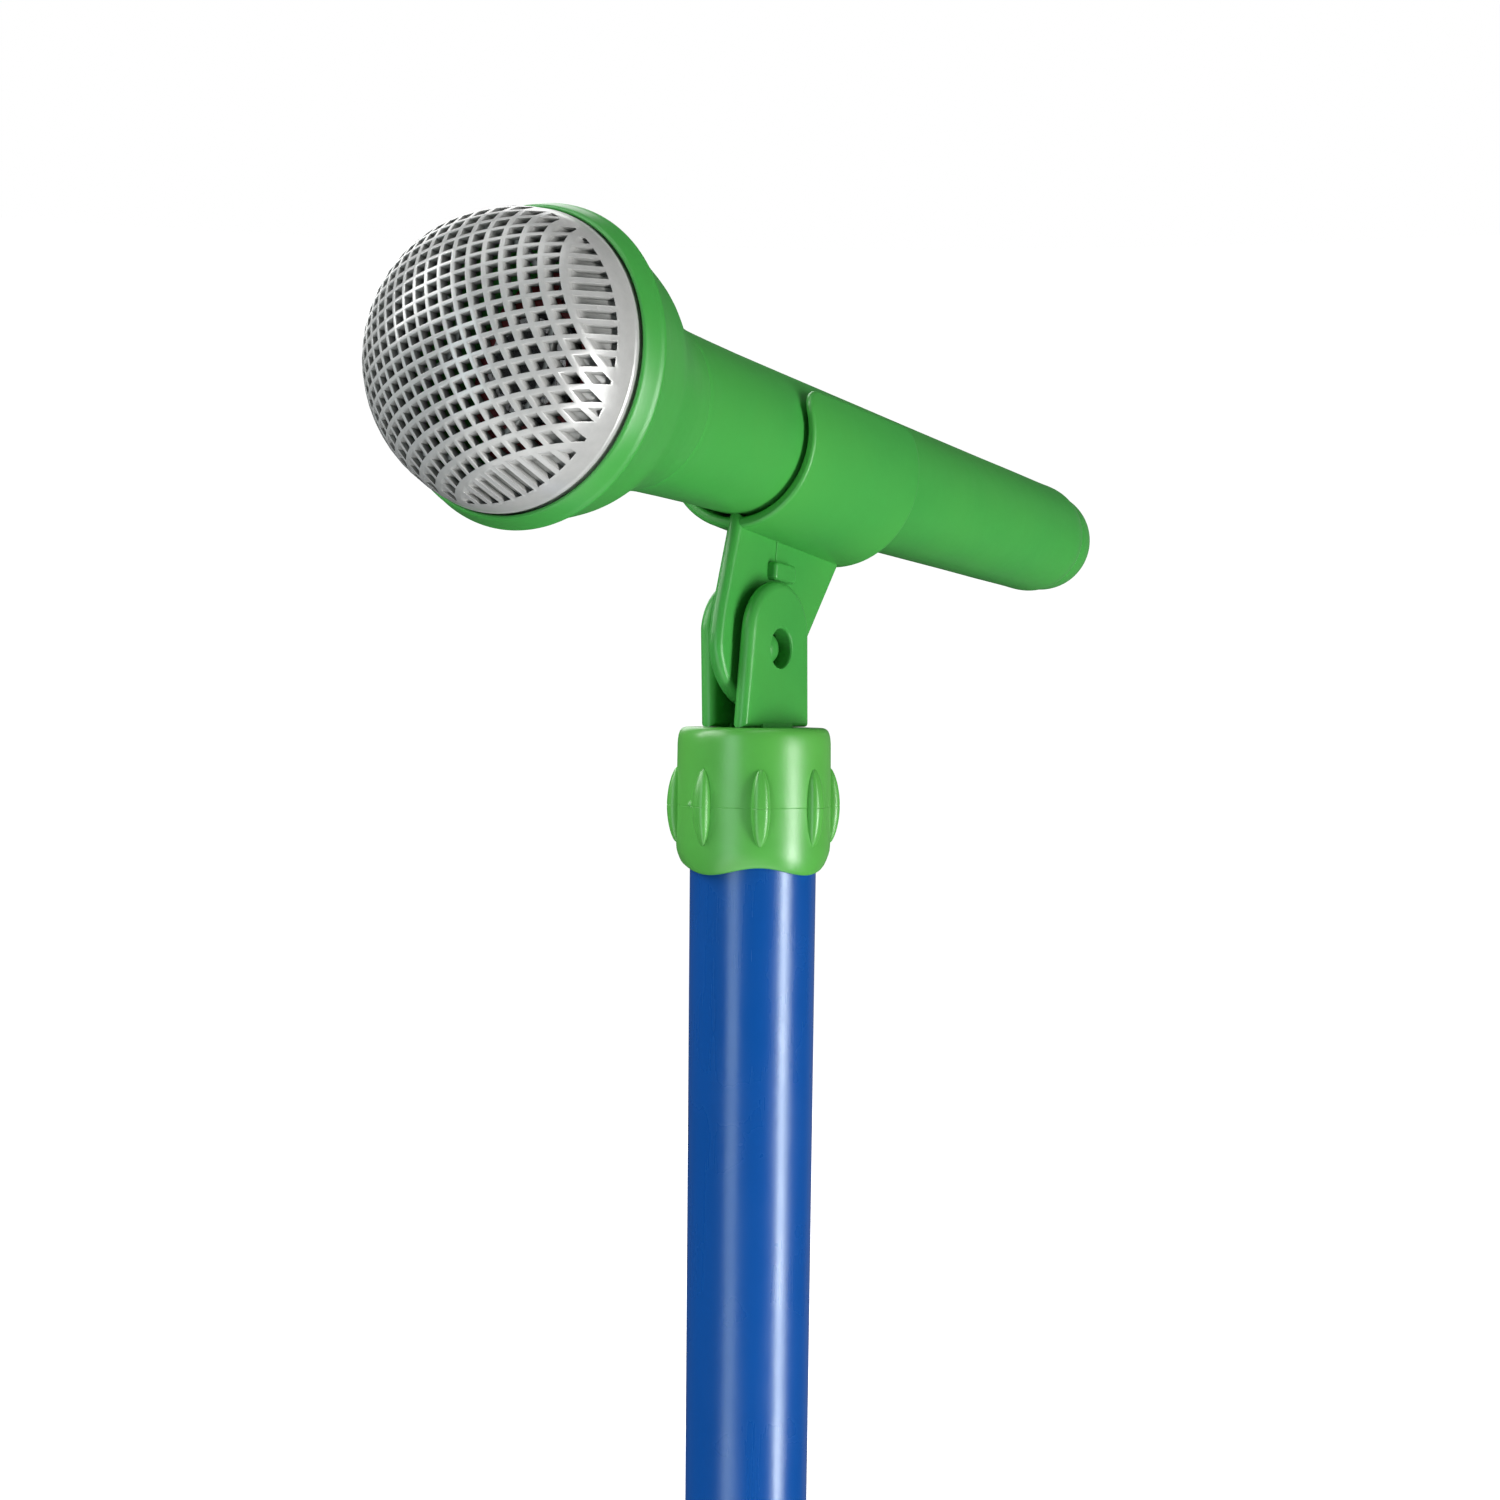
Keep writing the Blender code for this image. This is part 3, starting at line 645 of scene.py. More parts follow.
def opening_loops():
    """Every opening of the grille, seen along the microphone's axis, with whether it goes right through."""
    half, fin = RIB / 2, FIN / 2
    loops = []
    for i in range(-FIELD, FIELD):
        for j in range(-FIELD, FIELD):
            x0, x1 = max(i * PITCH + half, -FIELD_EDGE), min((i + 1) * PITCH - half, FIELD_EDGE)
            y0, y1 = max(j * PITCH + half, -FIELD_EDGE), min((j + 1) * PITCH - half, FIELD_EDGE)
            through = math.hypot(x0 + x1, y0 + y1) / 2 < POCKET_REACH
            loops.append((clipped(x0, x1, y0, y1, SLOT_REACH), through))
    for side in range(4):
        turn = math.pi / 2 * side
        cos, sin = round(math.cos(turn)), round(math.sin(turn))
        for j in range(-FIELD, FIELD):
            slot = clipped(SLOT_EDGE, SLOT_REACH, j * PITCH + fin, (j + 1) * PITCH - fin, SLOT_REACH)
            if slot:
                loops.append(([(x * cos - y * sin, x * sin + y * cos) for x, y in slot], False))
    return [loop for loop in loops if loop[0]]


def circle(radius):
    angles = [2 * math.pi * k / CIRCLE_STEPS for k in range(CIRCLE_STEPS)]
    return [(radius * math.cos(a), radius * math.sin(a)) for a in angles]


def grille_shell():
    """The ball with its openings, and the skirt that snaps into the cup."""
    verts, faces = [], []

    def ring(points, height):
        first = len(verts)
        verts.extend((x, y, height(x, y) if callable(height) else height) for x, y in points)
        return list(range(first, len(verts)))

    def strip(upper, lower):
        count = len(upper)
        for k in range(count):
            after = (k + 1) % count
            faces.append((upper[k], lower[k], lower[after], upper[after]))

    def cap(rings, loops, turned, height=None):
        extra, triangles = fill(loops, height and POCKET_SPACING)
        index = [v for one in rings for v in one] + ring(extra, height)
        for face in triangles:
            face = [index[v] for v in face]
            faces.append(face[::-1] if turned else face)

    top_loops, low_loops = [circle(TOP_REACH)], [circle(UNDERSIDE_REACH)]
    top_rings = [ring(top_loops[0], outer_height)]
    low_rings = [ring(low_loops[0], inner_height)]
    for hole, through in opening_loops():
        hole = hole[::-1]  # clockwise, so that the solid part is on its left
        before = None
        for k in range(RIB_EDGE_STEPS + 1):
            turn = math.pi / 2 * k / RIB_EDGE_STEPS
            loop = inset(hole, RIB_EDGE * (1 - math.sin(turn)))
            drop = RIB_EDGE * (1 - math.cos(turn))
            here = ring(loop, lambda x, y, drop=drop: outer_height(x, y) - drop)
            if before:
                strip(here, before)
            else:
                top_loops.append(loop)
                top_rings.append(here)
            before = here
        bottom = ring(hole, inner_height if through else floor_height)
        strip(bottom, before)
        if through:
            low_loops.append(hole)
            low_rings.append(bottom)
        else:
            cap([bottom], [hole], False, floor_height)
    cap(top_rings, top_loops, False)
    cap(low_rings, low_loops, True)
    skirt = [(23.38, 3.2), (23.46, 2.55), (23.49, 2.2), (23.52, 2.05), (23.6, 1.92), (23.66, 1.7)]
    skirt += [(23.66, 1.4), (23.58, 1.2), (23.4, 1.1), (23.35, 0.9), (23.35, -2.5), (22.35, -2.5)]
    skirt.append((22.3, -2.3))
    rows = [top_rings[0]] + [ring(circle(radius), height) for radius, height in skirt] + [low_rings[0]]
    for upper, lower in zip(rows, rows[1:]):
        strip(upper, lower)
    return verts, faces


def ring_rib(radius, depth):
    """A circular stiffening rib under the grille."""
    inner, outer = radius - RING_RIB_WIDTH / 2, radius + RING_RIB_WIDTH / 2
    top = inner_height(radius, 0.0) + 0.25
    low = inner_height(radius, 0.0) - depth
    return lathe(rounded([(outer, top, 0), (outer, low, 0.2), (inner, low, 0.2), (inner, top, 0)]), 96)


def rotated(shape, degrees):
    """The same shape, turned about z."""
    verts, faces = shape
    cos, sin = math.cos(math.radians(degrees)), math.sin(math.radians(degrees))
    return [(x * cos - y * sin, x * sin + y * cos, z) for x, y, z in verts], faces


GRILLE = MIC @ Matrix.Translation((0.0, 0.0, BALL_CENTRE * MM))
shell = rotated(grille_shell(), GRID_TURN)
piece("grille", shell, GRILLE, "microphone", ["grille_dome"], SILVER, GRILLE_SHARP)
for number, (radius, depth) in enumerate(RING_RIBS):
    name = f"grille_ring_rib_{number + 1}"
    piece(name, ring_rib(radius, depth), GRILLE, "microphone", [], SILVER)


# ---------------------------------------------------------------- microphone body


def smooth_profile(points, most=1.2):
    """A Catmull-Rom curve through (radius, height) points, stepped at about `most` mm."""
    knots = [Vector(p) for p in points]
    knots = [2 * knots[0] - knots[1]] + knots + [2 * knots[-1] - knots[-2]]
    result = []
    for a, b, c, d in zip(knots, knots[1:], knots[2:], knots[3:]):
        steps = max(1, math.ceil((c - b).length / most))
        for k in range(steps):
            t = k / steps
            point = 2 * b + (c - a) * t + (2 * a - 5 * b + 4 * c - d) * t * t + (3 * b - a - 3 * c + d) * t**3
            result.append(tuple(point / 2))
    return result + [tuple(knots[-2])]


def head_cup():
    """The cup's profile: the rolled lip, the flare, and the wall and spigot inside."""
    flare = [(14.58, 41.2), (14.78, 42.0), (15.5, 45.0), (16.6, 48.0), (17.4, 50.0), (18.3, 52.0)]
    flare += [(19.8, 55.0), (21.3, 58.0), (22.05, 60.0), (22.95, 63.0), (23.9, 66.0), (24.7, 68.2)]
    flare.append((25.15, 69.6))
    outside = smooth_profile(flare[::-1])
    face = [(23.74, 73.2), (23.77, 73.7), (23.9, 73.93), (24.12, 74.0), (24.34, 73.9), (24.52, 73.6)]
    edge = [(24.75, 72.95), (25.02, 72.05), (25.27, 71.15), (25.42, 70.78), (25.52, 70.52), (25.56, 70.28)]
    edge += [(25.54, 70.05), (25.44, 69.86), (25.28, 69.74)]
    front = smooth_profile(face + edge, 0.2)
    inside_wall = [(11.9, 40.97), (11.9, 27.5), (10.3, 27.5), (10.3, 39.5), (13.6, 46.0), (18.0, 55.8)]
    inside_wall += [(20.1, 60.6), (21.9, 66.4), (22.2, 70.5), (23.72, 70.5)]
    return front + outside + [(14.5, 40.97)] + inside_wall


def handle():
    """The handle's profile, a hollow cone."""
    outside = [(12.2, 40.95), (14.49, 40.95), (14.5, 40.9), (14.38, 39.4), (14.2, 38.0), (14.05, 36.0)]
    outside += [(13.8, 29.0), (13.55, 20.0), (13.3, 5.0), (12.86, -24.0), (12.6, -40.0), (12.35, -57.0)]
    outside += [(12.1, -75.0), (11.95, -90.0), (11.75, -103.0)]
    end = [(11.73, -106.0), (11.72, -109.3), (11.58, -111.2), (11.3, -112.5), (11.0, -113.2)]
    end = smooth_profile(end, 0.5)
    end += [(10.75, -113.5), (10.4, -113.62), (9.9, -113.62), (9.9, -99.5), (9.95, -97.0), (10.5, -57.0)]
    return outside + end + [(11.0, -24.0), (11.7, 20.0), (12.2, 26.0)]


def tail_cap():
    """The tail cap's profile: a dome with a hole for the jack, and the wall that plugs into the handle."""
    dome = [(10.72, -113.95), (10.74, -115.4), (10.58, -117.2), (10.1, -119.1), (9.25, -120.9), (8.0, -122.5)]
    dome = smooth_profile(dome + [(6.7, -123.5)], 0.6)
    edge = [(6.4, -123.7), (6.1, -123.8), (4.4, -123.8), (4.2, -123.6), (4.2, -121.6), (6.9, -121.6)]
    wall = [(7.6, -104.0), (9.6, -104.0), (9.6, -113.7), (10.5, -113.7), (10.64, -113.78)]
    return wall + dome + edge + [(7.6, -118.0)]


def screw_post(number):
    """One of the cup's three posts under the capsule holder, with its blind hole."""
    angle = math.radians(90.0 + 120.0 * number)
    corners = [(0.0, POST_FOOT, 0), (POST_RADIUS, POST_FOOT, 0), (POST_RADIUS, POST_TOP, 0.25)]
    corners += [(POST_HOLE, POST_TOP, 0.2), (POST_HOLE, POST_HOLE_FOOT, 0), (0.0, POST_HOLE_FOOT, 0)]
    verts, faces = lathe(rounded(corners, closed=False), 32, closed=False)
    x, y = POST_CIRCLE * math.cos(angle), POST_CIRCLE * math.sin(angle)
    return [(vx + x, vy + y, vz) for vx, vy, vz in verts], faces


cup = mesh_object("cup", lathe(head_cup(), 192), MIC, TURNED_SHARP)
for number in range(3):
    boolean(cup, mesh_object("post", screw_post(number), MIC), "UNION", TURNED_SHARP)
finished(cup, "microphone", ["head_cup"], GREEN)
handle_shape = lathe(handle(), 160)
tail_shape = lathe(tail_cap(), 128)
piece("handle_tube", handle_shape, MIC, "microphone", ["handle"], GREEN, TURNED_SHARP)
piece("tail", tail_shape, MIC, "microphone", ["tail_cap"], GREEN, TURNED_SHARP)


# ---------------------------------------------------------------- clip


def clip_shape(angle, along, share):
    """A point of the sleeve, with share 0 at the bore and 1 outside.

    The angle is in degrees from the microphone's upper side. The outside is centred a little below the bore.
    """
    t = (along - SLEEVE_REAR) / (SLEEVE_FRONT - SLEEVE_REAR)
    outer, drop, bore = (rear + (front - rear) * t for rear, front in (OUTER_RADII, OUTER_DROPS, BORE_RADII))
    x, y = math.sin(math.radians(angle)), math.cos(math.radians(angle))
    reach = -drop * y + math.sqrt(outer**2 - (drop * x) ** 2)
    radius = bore + (reach - bore) * share
    return radius * x, PIVOT_TO_MIC_AXIS + radius * y, along


def sleeve():
    """The open sleeve, drawn flat as (arc length round from the opening, distance along) and bent round."""
    length = math.radians(360.0 - 2 * OPENING_HALF_ANGLE) * SLEEVE_MEAN
    corners = [(OPENING_SLOPE, SLEEVE_REAR, 2.5), (length - OPENING_SLOPE, SLEEVE_REAR, 2.5)]
    corners += [(length, SLEEVE_FRONT, 5.5), (0.0, SLEEVE_FRONT, 5.5)]
    outline = dense(rounded(corners, most=9.0), 1.0)

    def bend(u, v, w):
        return clip_shape(OPENING_HALF_ANGLE + math.degrees(u / SLEEVE_MEAN), v, w / SLEEVE_THICKNESS)

    return sheet([outline], 0.0, SLEEVE_THICKNESS, 0.85, bend, 1.1, 5)


def dense(loop, most):
    """The same closed loop with no step longer than `most`."""
    result = []
    for (x0, y0), (x1, y1) in zip(loop, loop[1:] + loop[:1]):
        steps = max(1, math.ceil(math.hypot(x1 - x0, y1 - y0) / most))
        result += [(x0 + (x1 - x0) * k / steps, y0 + (y1 - y0) * k / steps) for k in range(steps)]
    return result


def arc(centre, radius, start, end, steps):
    angles = [math.radians(start + (end - start) * k / steps) for k in range(steps + 1)]
    return [(centre[0] + radius * math.cos(a), centre[1] + radius * math.sin(a)) for a in angles]


def tangent(point, centre, radius, side):
    """The angle, in degrees, at which a line from the point touches the circle."""
    across, up = point[0] - centre[0], point[1] - centre[1]
    reach = math.degrees(math.acos(radius / math.hypot(across, up)))
    return math.degrees(math.atan2(up, across)) + side * reach


def upright(along, up, across):
    """A plate drawn from the side stands upright under the sleeve."""
    return across, up, along


def tongue():
    """The plate under the sleeve that tilts between the fork's ears."""
    front = [(9.2, 23.0), (10.0, 20.1), (11.8, 12.5), (13.3, 6.0)]
    foot = [(13.9, 1.4), (13.85, -1.3), (12.5, -4.5), (10.2, -7.3), (6.9, -9.6), (3.0, -10.8), (-1.2, -10.9)]
    foot += [(-5.2, -10.0), (-8.6, -8.0), (-11.6, -4.6), (-13.6, -0.9)]
    rear = [(-15.9, 3.1), (-25.4, 17.6), (-27.6, 21.0)]
    outline = front + smooth_profile(foot, 0.9) + rear
    hole = arc((0.0, 0.0), TONGUE_HOLE, 0.0, 360.0, 40)[:-1]
    return sheet([outline[::-1], hole[::-1]], -TONGUE_HALF, TONGUE_HALF, 1.3, upright, None, 6)


def boss():
    """The small block on the side of the tongue."""
    corners = [(-7.6, 12.4, 0.9), (-0.3, 12.4, 0.9), (-0.3, 15.8, 0.9), (-7.6, 15.8, 0.9)]
    return sheet([rounded(corners)], 0.0, 3.3, 0.7, upright, None, 4)


def crease():
    """A faint moulded step that runs from the boss up to the sleeve."""
    corners = [(-3.3, 15.0), (-2.6, 15.0), (-2.9, 22.5), (-3.6, 22.5)]
    return sheet([corners], 1.0, 1.68, 0.17, upright, None, 3)


clip = mesh_object("clip", sleeve(), TILT)
for name, shape in (("tongue", tongue()), ("boss", boss()), ("crease", crease())):
    boolean(clip, mesh_object(name, shape, TILT), "UNION")
weighted(clip)
finished(clip, "clip", ["mic_clip"], GREEN)


def pin():
    """The tilt pin's profile, domed at both ends."""
    half = smooth_profile([(0.0, 4.3), (0.9, 4.2), (1.8, 3.8), (2.4, 3.3), (2.75, 2.7), (2.9, 2.0)], 0.4)
    half.append((2.9, 0.0))
    return half + [(radius, -height) for radius, height in reversed(half[:-1])]


ALONG_X = STAND @ Matrix.Rotation(math.radians(90.0), 4, "Y")
piece("pin", lathe(pin(), 64, closed=False), ALONG_X, "clip", ["pivot_pin"], GREEN)


# ---------------------------------------------------------------- fork


def ear(side):
    """One ear of the fork. The two lean apart a little."""
    start = tangent((EAR_HALF_WIDTH, EAR_BASE), EAR_CENTRE, EAR_RADIUS, 1)
    outline = [(-EAR_HALF_WIDTH, EAR_BASE), (EAR_HALF_WIDTH, EAR_BASE)]
    outline += arc(EAR_CENTRE, EAR_RADIUS, start, 180.0 - start, 40)
    base, pivot = SPLAY[side]

    def lean(u, v, w):
        share = min((v - EAR_BASE) / -EAR_BASE, 1.25)
        return side * (w + base + (pivot - base) * share), u, v

    return sheet([outline], EAR_INSIDE, EAR_OUTSIDE, 1.45, lean, 2.0, 7)


def pin_hole(side):
    """The cutter for the hole that the pin sits in, with a softened rim at the ear's outer face."""
    face = EAR_OUTSIDE + SPLAY[side][1]
    profile = [(0.0, 0.9), (PIN_HOLE, 0.9), (PIN_HOLE, face - 0.5), (3.55, face - 0.25), (3.7, face - 0.05)]
    profile += [(3.95, face + 0.1), (4.6, face + 0.3), (4.6, face + 1.0), (0.0, face + 1.0)]
    return lathe(profile, 64, closed=False)


def stem():
    """The stem that slides in the tube, with a shoulder for the guide and a screw hole in its end."""
    corners = [(0.0, -16.2, 0), (7.5, -16.2, 0.4), (7.5, -91.0, 0.5), (5.0, -91.0, 0), (5.0, -95.2, 0.3)]
    corners += [(1.6, -95.2, 0), (1.6, -84.0, 0), (0.0, -84.0, 0)]
    return lathe(rounded(corners, closed=False), 96, closed=False)


def tang(side):
    """The block that joins an ear to the stem."""
    low, high = sorted((side * (2.0 + SPLAY[side][0]), side * (4.8 + SPLAY[side][0])))
    corners = [(-5.1, -17.5), (5.1, -17.5), (5.1, -12.5), (-5.1, -12.5)]
    return sheet([corners], low, high, 0.1, lambda u, v, w: (w, u, v), None, 1)


fork = mesh_object("fork_body", stem(), STAND)
for side in (-1, 1):
    plate = mesh_object("ear", ear(side), STAND)
    boolean(plate, mesh_object("tang", tang(side), STAND), "UNION")
    sideways = STAND @ Matrix.Rotation(math.radians(90.0 * side), 4, "Y")
    boolean(plate, mesh_object("pin_hole", pin_hole(side), sideways), "DIFFERENCE")
    boolean(fork, plate, "UNION")
weighted(fork)
finished(fork, "fork", ["fork"], GREEN)


# ---------------------------------------------------------------- collar


def collar_radius(height):
    """The collar's outside between its ribs."""
    points = [(-14.06, 12.1), (-14.12, 12.5), (-14.25, 12.8), (-14.45, 13.06), (-14.75, 13.28)]
    points += [(-15.15, 13.45), (-15.6, 13.57), (-16.2, 13.66), (-17.0, 13.72), (-28.0, 13.82), (-35.2, 13.8)]
    points += [(-36.4, 13.72), (-37.6, 13.52), (-38.8, 13.18), (-39.5, 12.9), (-39.85, 12.65), (-39.95, 12.4)]
    heights = [p[0] for p in points][::-1]
    return float(np.interp(height, heights, [p[1] for p in points][::-1]))


def wave(turn):
    """How far the lower edge rises: four waves round the collar."""
    return WAVE_HEIGHT * (1.0 + math.cos(4.0 * turn)) / 2.0


def rib_columns(width):
    """Each column's turn from the middle of its rib, and its place across the rib, from -1 to 1."""
    half_step = math.pi / RIB_COUNT
    columns = []
    for k in range(SECTOR_COLUMNS):
        t = -1 + 2 * k / SECTOR_COLUMNS
        if abs(t) <= 0.5:
            across = math.sin(math.pi * t)
            columns.append((width * across, across))
        else:
            share = (abs(t) - 0.5) / 0.5
            columns.append((math.copysign(width + (half_step - width) * share, t), 1.0))
    return columns


def collar():
    """Rows of points down the outside, round the foot, up the bore and out of the mouth."""
    heights = [-14.06, -14.12, -14.25, -14.45, -14.75, -15.15, -15.6, -16.2, -17.0, -18.2, -19.6, -20.8]
    heights += [-21.2 - 0.12 * k for k in range(6)]
    heights += list(np.linspace(-22.1, -27.75, 26))
    heights += [-27.9, -27.97, -28.03, -28.1]
    heights += list(np.linspace(-28.25, -33.9, 26))
    heights += [-34.2, -34.5, -34.8, -35.2, -35.8, -36.4, -37.0, -37.6, -38.2, -38.8, -39.2, -39.5, -39.7]
    heights += [-39.85, -39.95]
    inner_rows = [(12.3, COLLAR_FOOT), (COLLAR_BORE + 0.2, COLLAR_FOOT), (COLLAR_BORE, COLLAR_FOOT + 0.2)]
    inner_rows += [(COLLAR_BORE, -36.5), (COLLAR_BORE, COLLAR_ROOF)]
    inner_rows += [(7.95, COLLAR_ROOF), (COLLAR_MOUTH, COLLAR_ROOF + 0.15), (COLLAR_MOUTH, COLLAR_TOP - 0.15)]
    inner_rows += [(7.95, COLLAR_TOP), (10.0, COLLAR_TOP)]
    verts, faces = [], []
    count = RIB_COUNT * SECTOR_COLUMNS
    half_step = math.pi / RIB_COUNT
    for height in heights:
        level = (height - COLLAR_SEAM) / RIB_HALF_HEIGHT
        columns = rib_columns(RIB_HALF_WIDTH / COLLAR_RADIUS * math.sqrt(max(1 - level * level, 0.02)))
        for sector in range(RIB_COUNT):
            for offset, across in columns:
                swell = max(1 - level * level, 0.0) ** 0.7 * max(1 - abs(across) ** 3, 0.0) ** 0.5
                radius = collar_radius(height) + RIB_RISE * swell
                if abs(height - COLLAR_SEAM) < 0.05:
                    radius -= SEAM_DEPTH
                turn = sector * 2 * half_step + offset
                aside = math.remainder(turn - GATE, 2 * math.pi) * COLLAR_RADIUS
                gate = aside**2 + (height - COLLAR_SEAM - 0.3) ** 2
                radius += GATE_RISE * math.exp(-gate / 0.16)
                weight = min(max((WAVE_TOP - height) / WAVE_REACH, 0.0), 1.0)
                lift = wave(turn) * weight * weight * (3 - 2 * weight)
                angle = turn + math.radians(RIB_ANGLE)
                verts.append((radius * math.cos(angle), radius * math.sin(angle), height + lift))
    last_row = verts[-count:]
    for radius, height in inner_rows:
        for x, y, _ in last_row:
            angle = math.atan2(y, x)
            lift = wave(angle - math.radians(RIB_ANGLE)) if height < COLLAR_FOOT + 1.0 else 0.0
            verts.append((radius * math.cos(angle), radius * math.sin(angle), height + lift))
    rows = len(heights) + len(inner_rows)
    for row in range(rows):
        lower = (row + 1) % rows
        for k in range(count):
            after = (k + 1) % count
            faces.append((row * count + k, lower * count + k, lower * count + after, row * count + after))
    return verts, faces


piece("collar", collar(), STAND, "collar", ["lock_collar"], COLLAR_GREEN, COLLAR_SHARP)


# ---------------------------------------------------------------- tube and plug


def tube():
    """The tube's profile. It narrows a little downwards."""
    corners = [(9.8, -22.2, 0.2), (11.3, -22.2, 0.3), (11.3, -40.4, 0), (11.08, -110.0, 0)]
    corners += [(10.84, -180.0, 0), (10.6, -242.0, 0.35), (9.1, -242.0, 0.2), (9.8, -40.4, 0)]
    return rounded(corners)


def plug():
    """The end plug's profile: a hollow cup with a flange under the tube."""
    corners = [(0.0, -230.0, 0), (8.2, -230.0, 0.4), (8.8, -231.5, 0.3), (8.8, -242.3, 0)]
    corners += [(10.6, -242.3, 0.25), (10.6, -245.0, 0.3), (8.6, -245.0, 0.15), (8.4, -262.4, 0.4)]
    corners += [(7.6, -264.0, 0.3), (6.4, -264.0, 0.25), (6.4, -235.0, 0.4), (0.0, -235.0, 0)]
    return rounded(corners, closed=False)


plug_shape = lathe(plug(), 128, closed=False)
piece("blue_tube", lathe(tube(), 160), STAND, "stand", ["upper_tube"], BLUE, TURNED_SHARP)
piece("plug", plug_shape, STAND, "stand", ["end_plug"], BLACK, TURNED_SHARP)


# ---------------------------------------------------------------- CAD nodes that stay

KEPT = {
    "capsule_holder": RED,
    "capsule_board": BOARD,
    "capsule_can": CAN,
    "capsule_felt": FELT,
    "capsule_ring": RUBBER,
    "holder_screw_1": STEEL,
    "holder_screw_2": STEEL,
    "holder_screw_3": STEEL,
    "jack_socket": BLACK,
    "jack_bushing": NICKEL,
    "jack_nut": NICKEL,
    "wire_red": RED_WIRE,
    "wire_black": BLACK_WIRE,
    "stem_guide": NATURAL,
    "stem_washer": STEEL,
    "stem_screw": STEEL,
    "collet": NATURAL,
}
for name, material in KEPT.items():
    node = frame["nodes"][name]
    node.data.materials.clear()
    node.data.materials.append(material)


# ---------------------------------------------------------------- studio

BACKGROUND = 1.0
AMBIENT = 0.02
REFLECTED = 0.06
COOL = (0.82, 0.95, 1.0)
LIT_POINT = Vector((0.0, 0.0, 0.25))
FLOOR_FLAT = 3.0  # metres, like the rim's radius
FLOOR_RIM = 1.2


def direction(azimuth, elevation):
    """Towards a light. Azimuth 0 is on the -Y side and 90 on the +X side."""
    a, e = math.radians(azimuth), math.radians(elevation)
    return Vector((math.sin(a) * math.cos(e), -math.cos(a) * math.cos(e), math.sin(e)))


def panel(name, azimuth, elevation, distance, size, radiance, colour):
    """A soft rectangular light that faces the object and that the camera doesn't see."""
    light = bpy.data.lights.new(name, "AREA")
    light.shape = "RECTANGLE"
    light.size, light.size_y = size
    light.energy = radiance * math.pi * size[0] * size[1]
    light.color = colour
    obj = bpy.data.objects.new(name, light)
    bpy.context.scene.collection.objects.link(obj)
    towards = direction(azimuth, elevation)
    obj.location = LIT_POINT + towards * distance
    obj.rotation_euler = towards.to_track_quat("Z", "Y").to_euler()
    obj.visible_camera = False


def studio_world(background, ambient, reflected):
    """Plain white behind the object, soft grey light on it and a dimmer room in its gloss."""
    world = bpy.data.worlds.new("studio")
    bpy.context.scene.world = world
    world.use_nodes = True
    tree = world.node_tree
    shader = tree.nodes["Background"]
    rays = tree.nodes.new("ShaderNodeLightPath")
    level = None
    strengths = {"Is Camera Ray": background, "Is Diffuse Ray": ambient, "Is Glossy Ray": reflected}
    for output, value in strengths.items():
        node = tree.nodes.new("ShaderNodeMath")
        node.operation = "MULTIPLY"
        node.inputs[1].default_value = value
        tree.links.new(rays.outputs[output], node.inputs[0])
        if level is None:
            level = node.outputs[0]
            continue
        total = tree.nodes.new("ShaderNodeMath")
        tree.links.new(level, total.inputs[0])
        tree.links.new(node.outputs[0], total.inputs[1])
        level = total.outputs[0]
    tree.links.new(level, shader.inputs["Strength"])
    shader.inputs["Color"].default_value = (1.0, 1.0, 1.0, 1.0)


def floor():
    """A wide plain floor that rises softly at its far rim."""
    profile = [(0.0, 0.0), (1.0, 0.0), (2.2, 0.0), (FLOOR_FLAT, 0.0)]
    for angle in (0.3, 0.6, 0.9, 1.2, 1.5):
        profile.append((FLOOR_FLAT + FLOOR_RIM * math.sin(angle), FLOOR_RIM * (1 - math.cos(angle))))
    shape = lathe([(radius / MM, height / MM) for radius, height in profile], 96, closed=False)
    return mesh_object("floor", shape, Matrix.Identity(4))


def floor_material():
    nodes = Nodes("pale_floor")
    nodes.link(nodes.mixed(nodes.noise(3.0, 3.0), (0.90, 0.90, 0.90), (0.93, 0.93, 0.93)), "Base Color")
    nodes.set(Roughness=0.8, Specular_IOR_Level=0.2)
    nodes.set(Emission_Color=(*WHITE, 1.0), Emission_Strength=1.0)
    return nodes.material


ground = floor()
ground.data.materials.append(floor_material())
ground.visible_glossy = False
ground.visible_diffuse = False
ground.visible_shadow = False

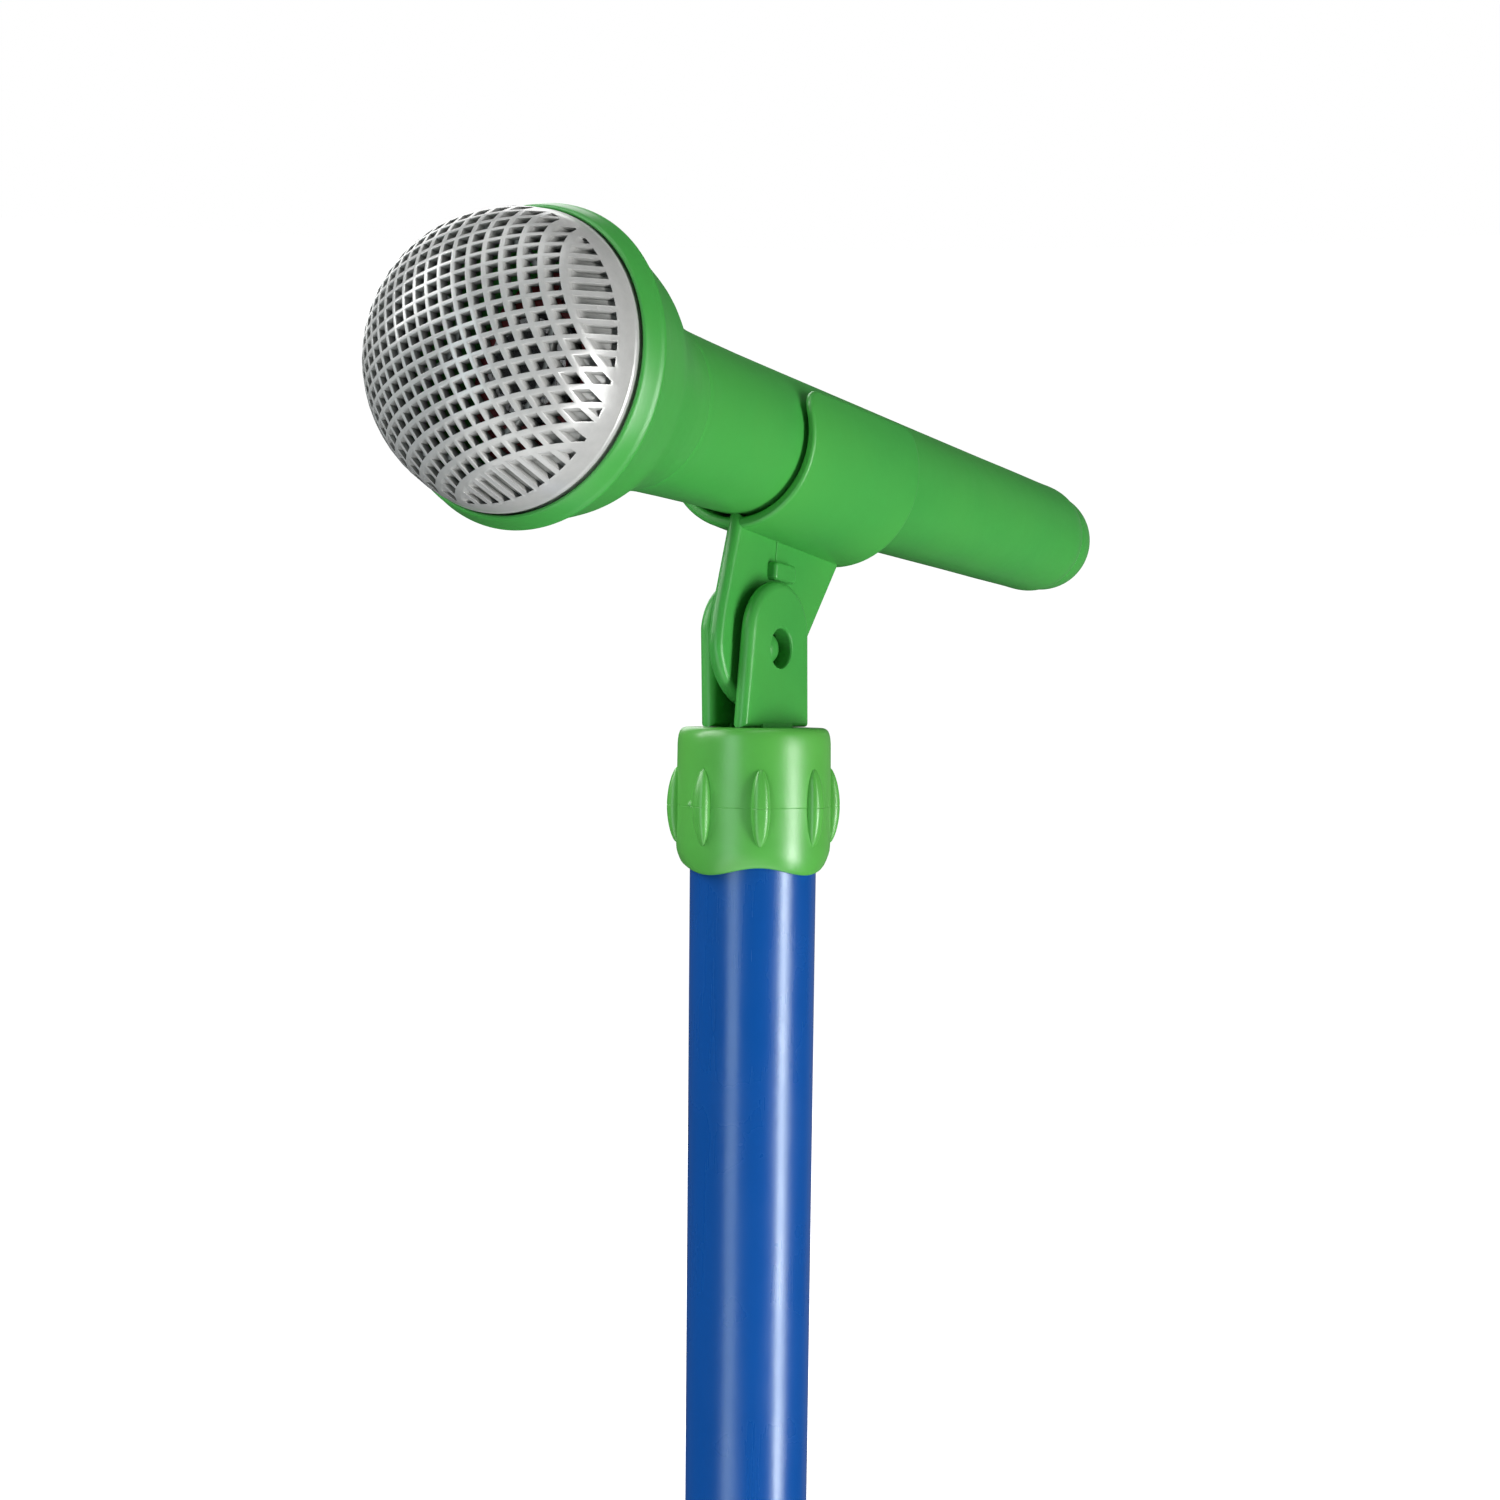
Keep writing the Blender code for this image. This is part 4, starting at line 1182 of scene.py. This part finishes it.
LIGHTS = (
    # name, azimuth, elevation, distance, size, radiance, colour
    ("side", 95.0, -15.0, 0.9, (0.32, 0.60), 6.4, WHITE),
    ("side_strip", 91.0, -2.0, 0.9, (0.16, 0.80), 7.0, WHITE),
    ("side_strip_low", 91.0, -25.0, 0.9, (0.14, 0.80), 6.0, WHITE),
    ("side_strip_front", 80.0, -15.0, 0.9, (0.12, 0.60), 0.6, WHITE),
    ("front", -2.0, -2.0, 0.9, (0.32, 1.10), 2.8, COOL),
    ("front_low", 0.0, -45.0, 0.9, (0.60, 0.60), 1.4, WHITE),
    ("key", -34.0, 35.0, 1.0, (0.50, 0.50), 3.9, WHITE),
    ("key_left", -58.0, 36.0, 1.0, (0.14, 0.80), 11.0, WHITE),
    ("top", 0.0, 80.0, 1.0, (0.80, 0.80), 1.5, WHITE),
    ("under", 60.0, -75.0, 1.0, (0.80, 0.80), 1.3, WHITE),
    ("back_left", -130.0, 30.0, 1.1, (0.70, 0.70), 2.2, WHITE),
    ("back", 180.0, -5.0, 1.1, (0.70, 0.90), 0.12, WHITE),
)
studio_world(BACKGROUND, AMBIENT, REFLECTED)
for light in LIGHTS:
    panel(*light)


# ---------------------------------------------------------------- camera

CAMERA_PLACE = Vector((0.2279, -0.3646, 0.2549))
FORWARD = Vector((-0.53138, 0.84687, -0.02105)).normalized()
ROLL = math.radians(0.634)
LENS = 57.65
SENSOR = 36.0

camera_data = bpy.data.cameras.new("camera")
camera_data.lens = LENS
camera_data.sensor_width = SENSOR
camera_data.clip_start = 0.01
camera = bpy.data.objects.new("camera", camera_data)
bpy.context.scene.collection.objects.link(camera)
level_right = FORWARD.cross(Vector((0.0, 0.0, 1.0))).normalized()
level_up = level_right.cross(FORWARD)
right = level_right * math.cos(ROLL) + level_up * math.sin(ROLL)
camera.matrix_world = matrix(CAMERA_PLACE, right, right.cross(FORWARD), -FORWARD)
bpy.context.scene.camera = camera
bpy.context.scene.view_settings.view_transform = "Standard"

bpy.context.view_layer.update()
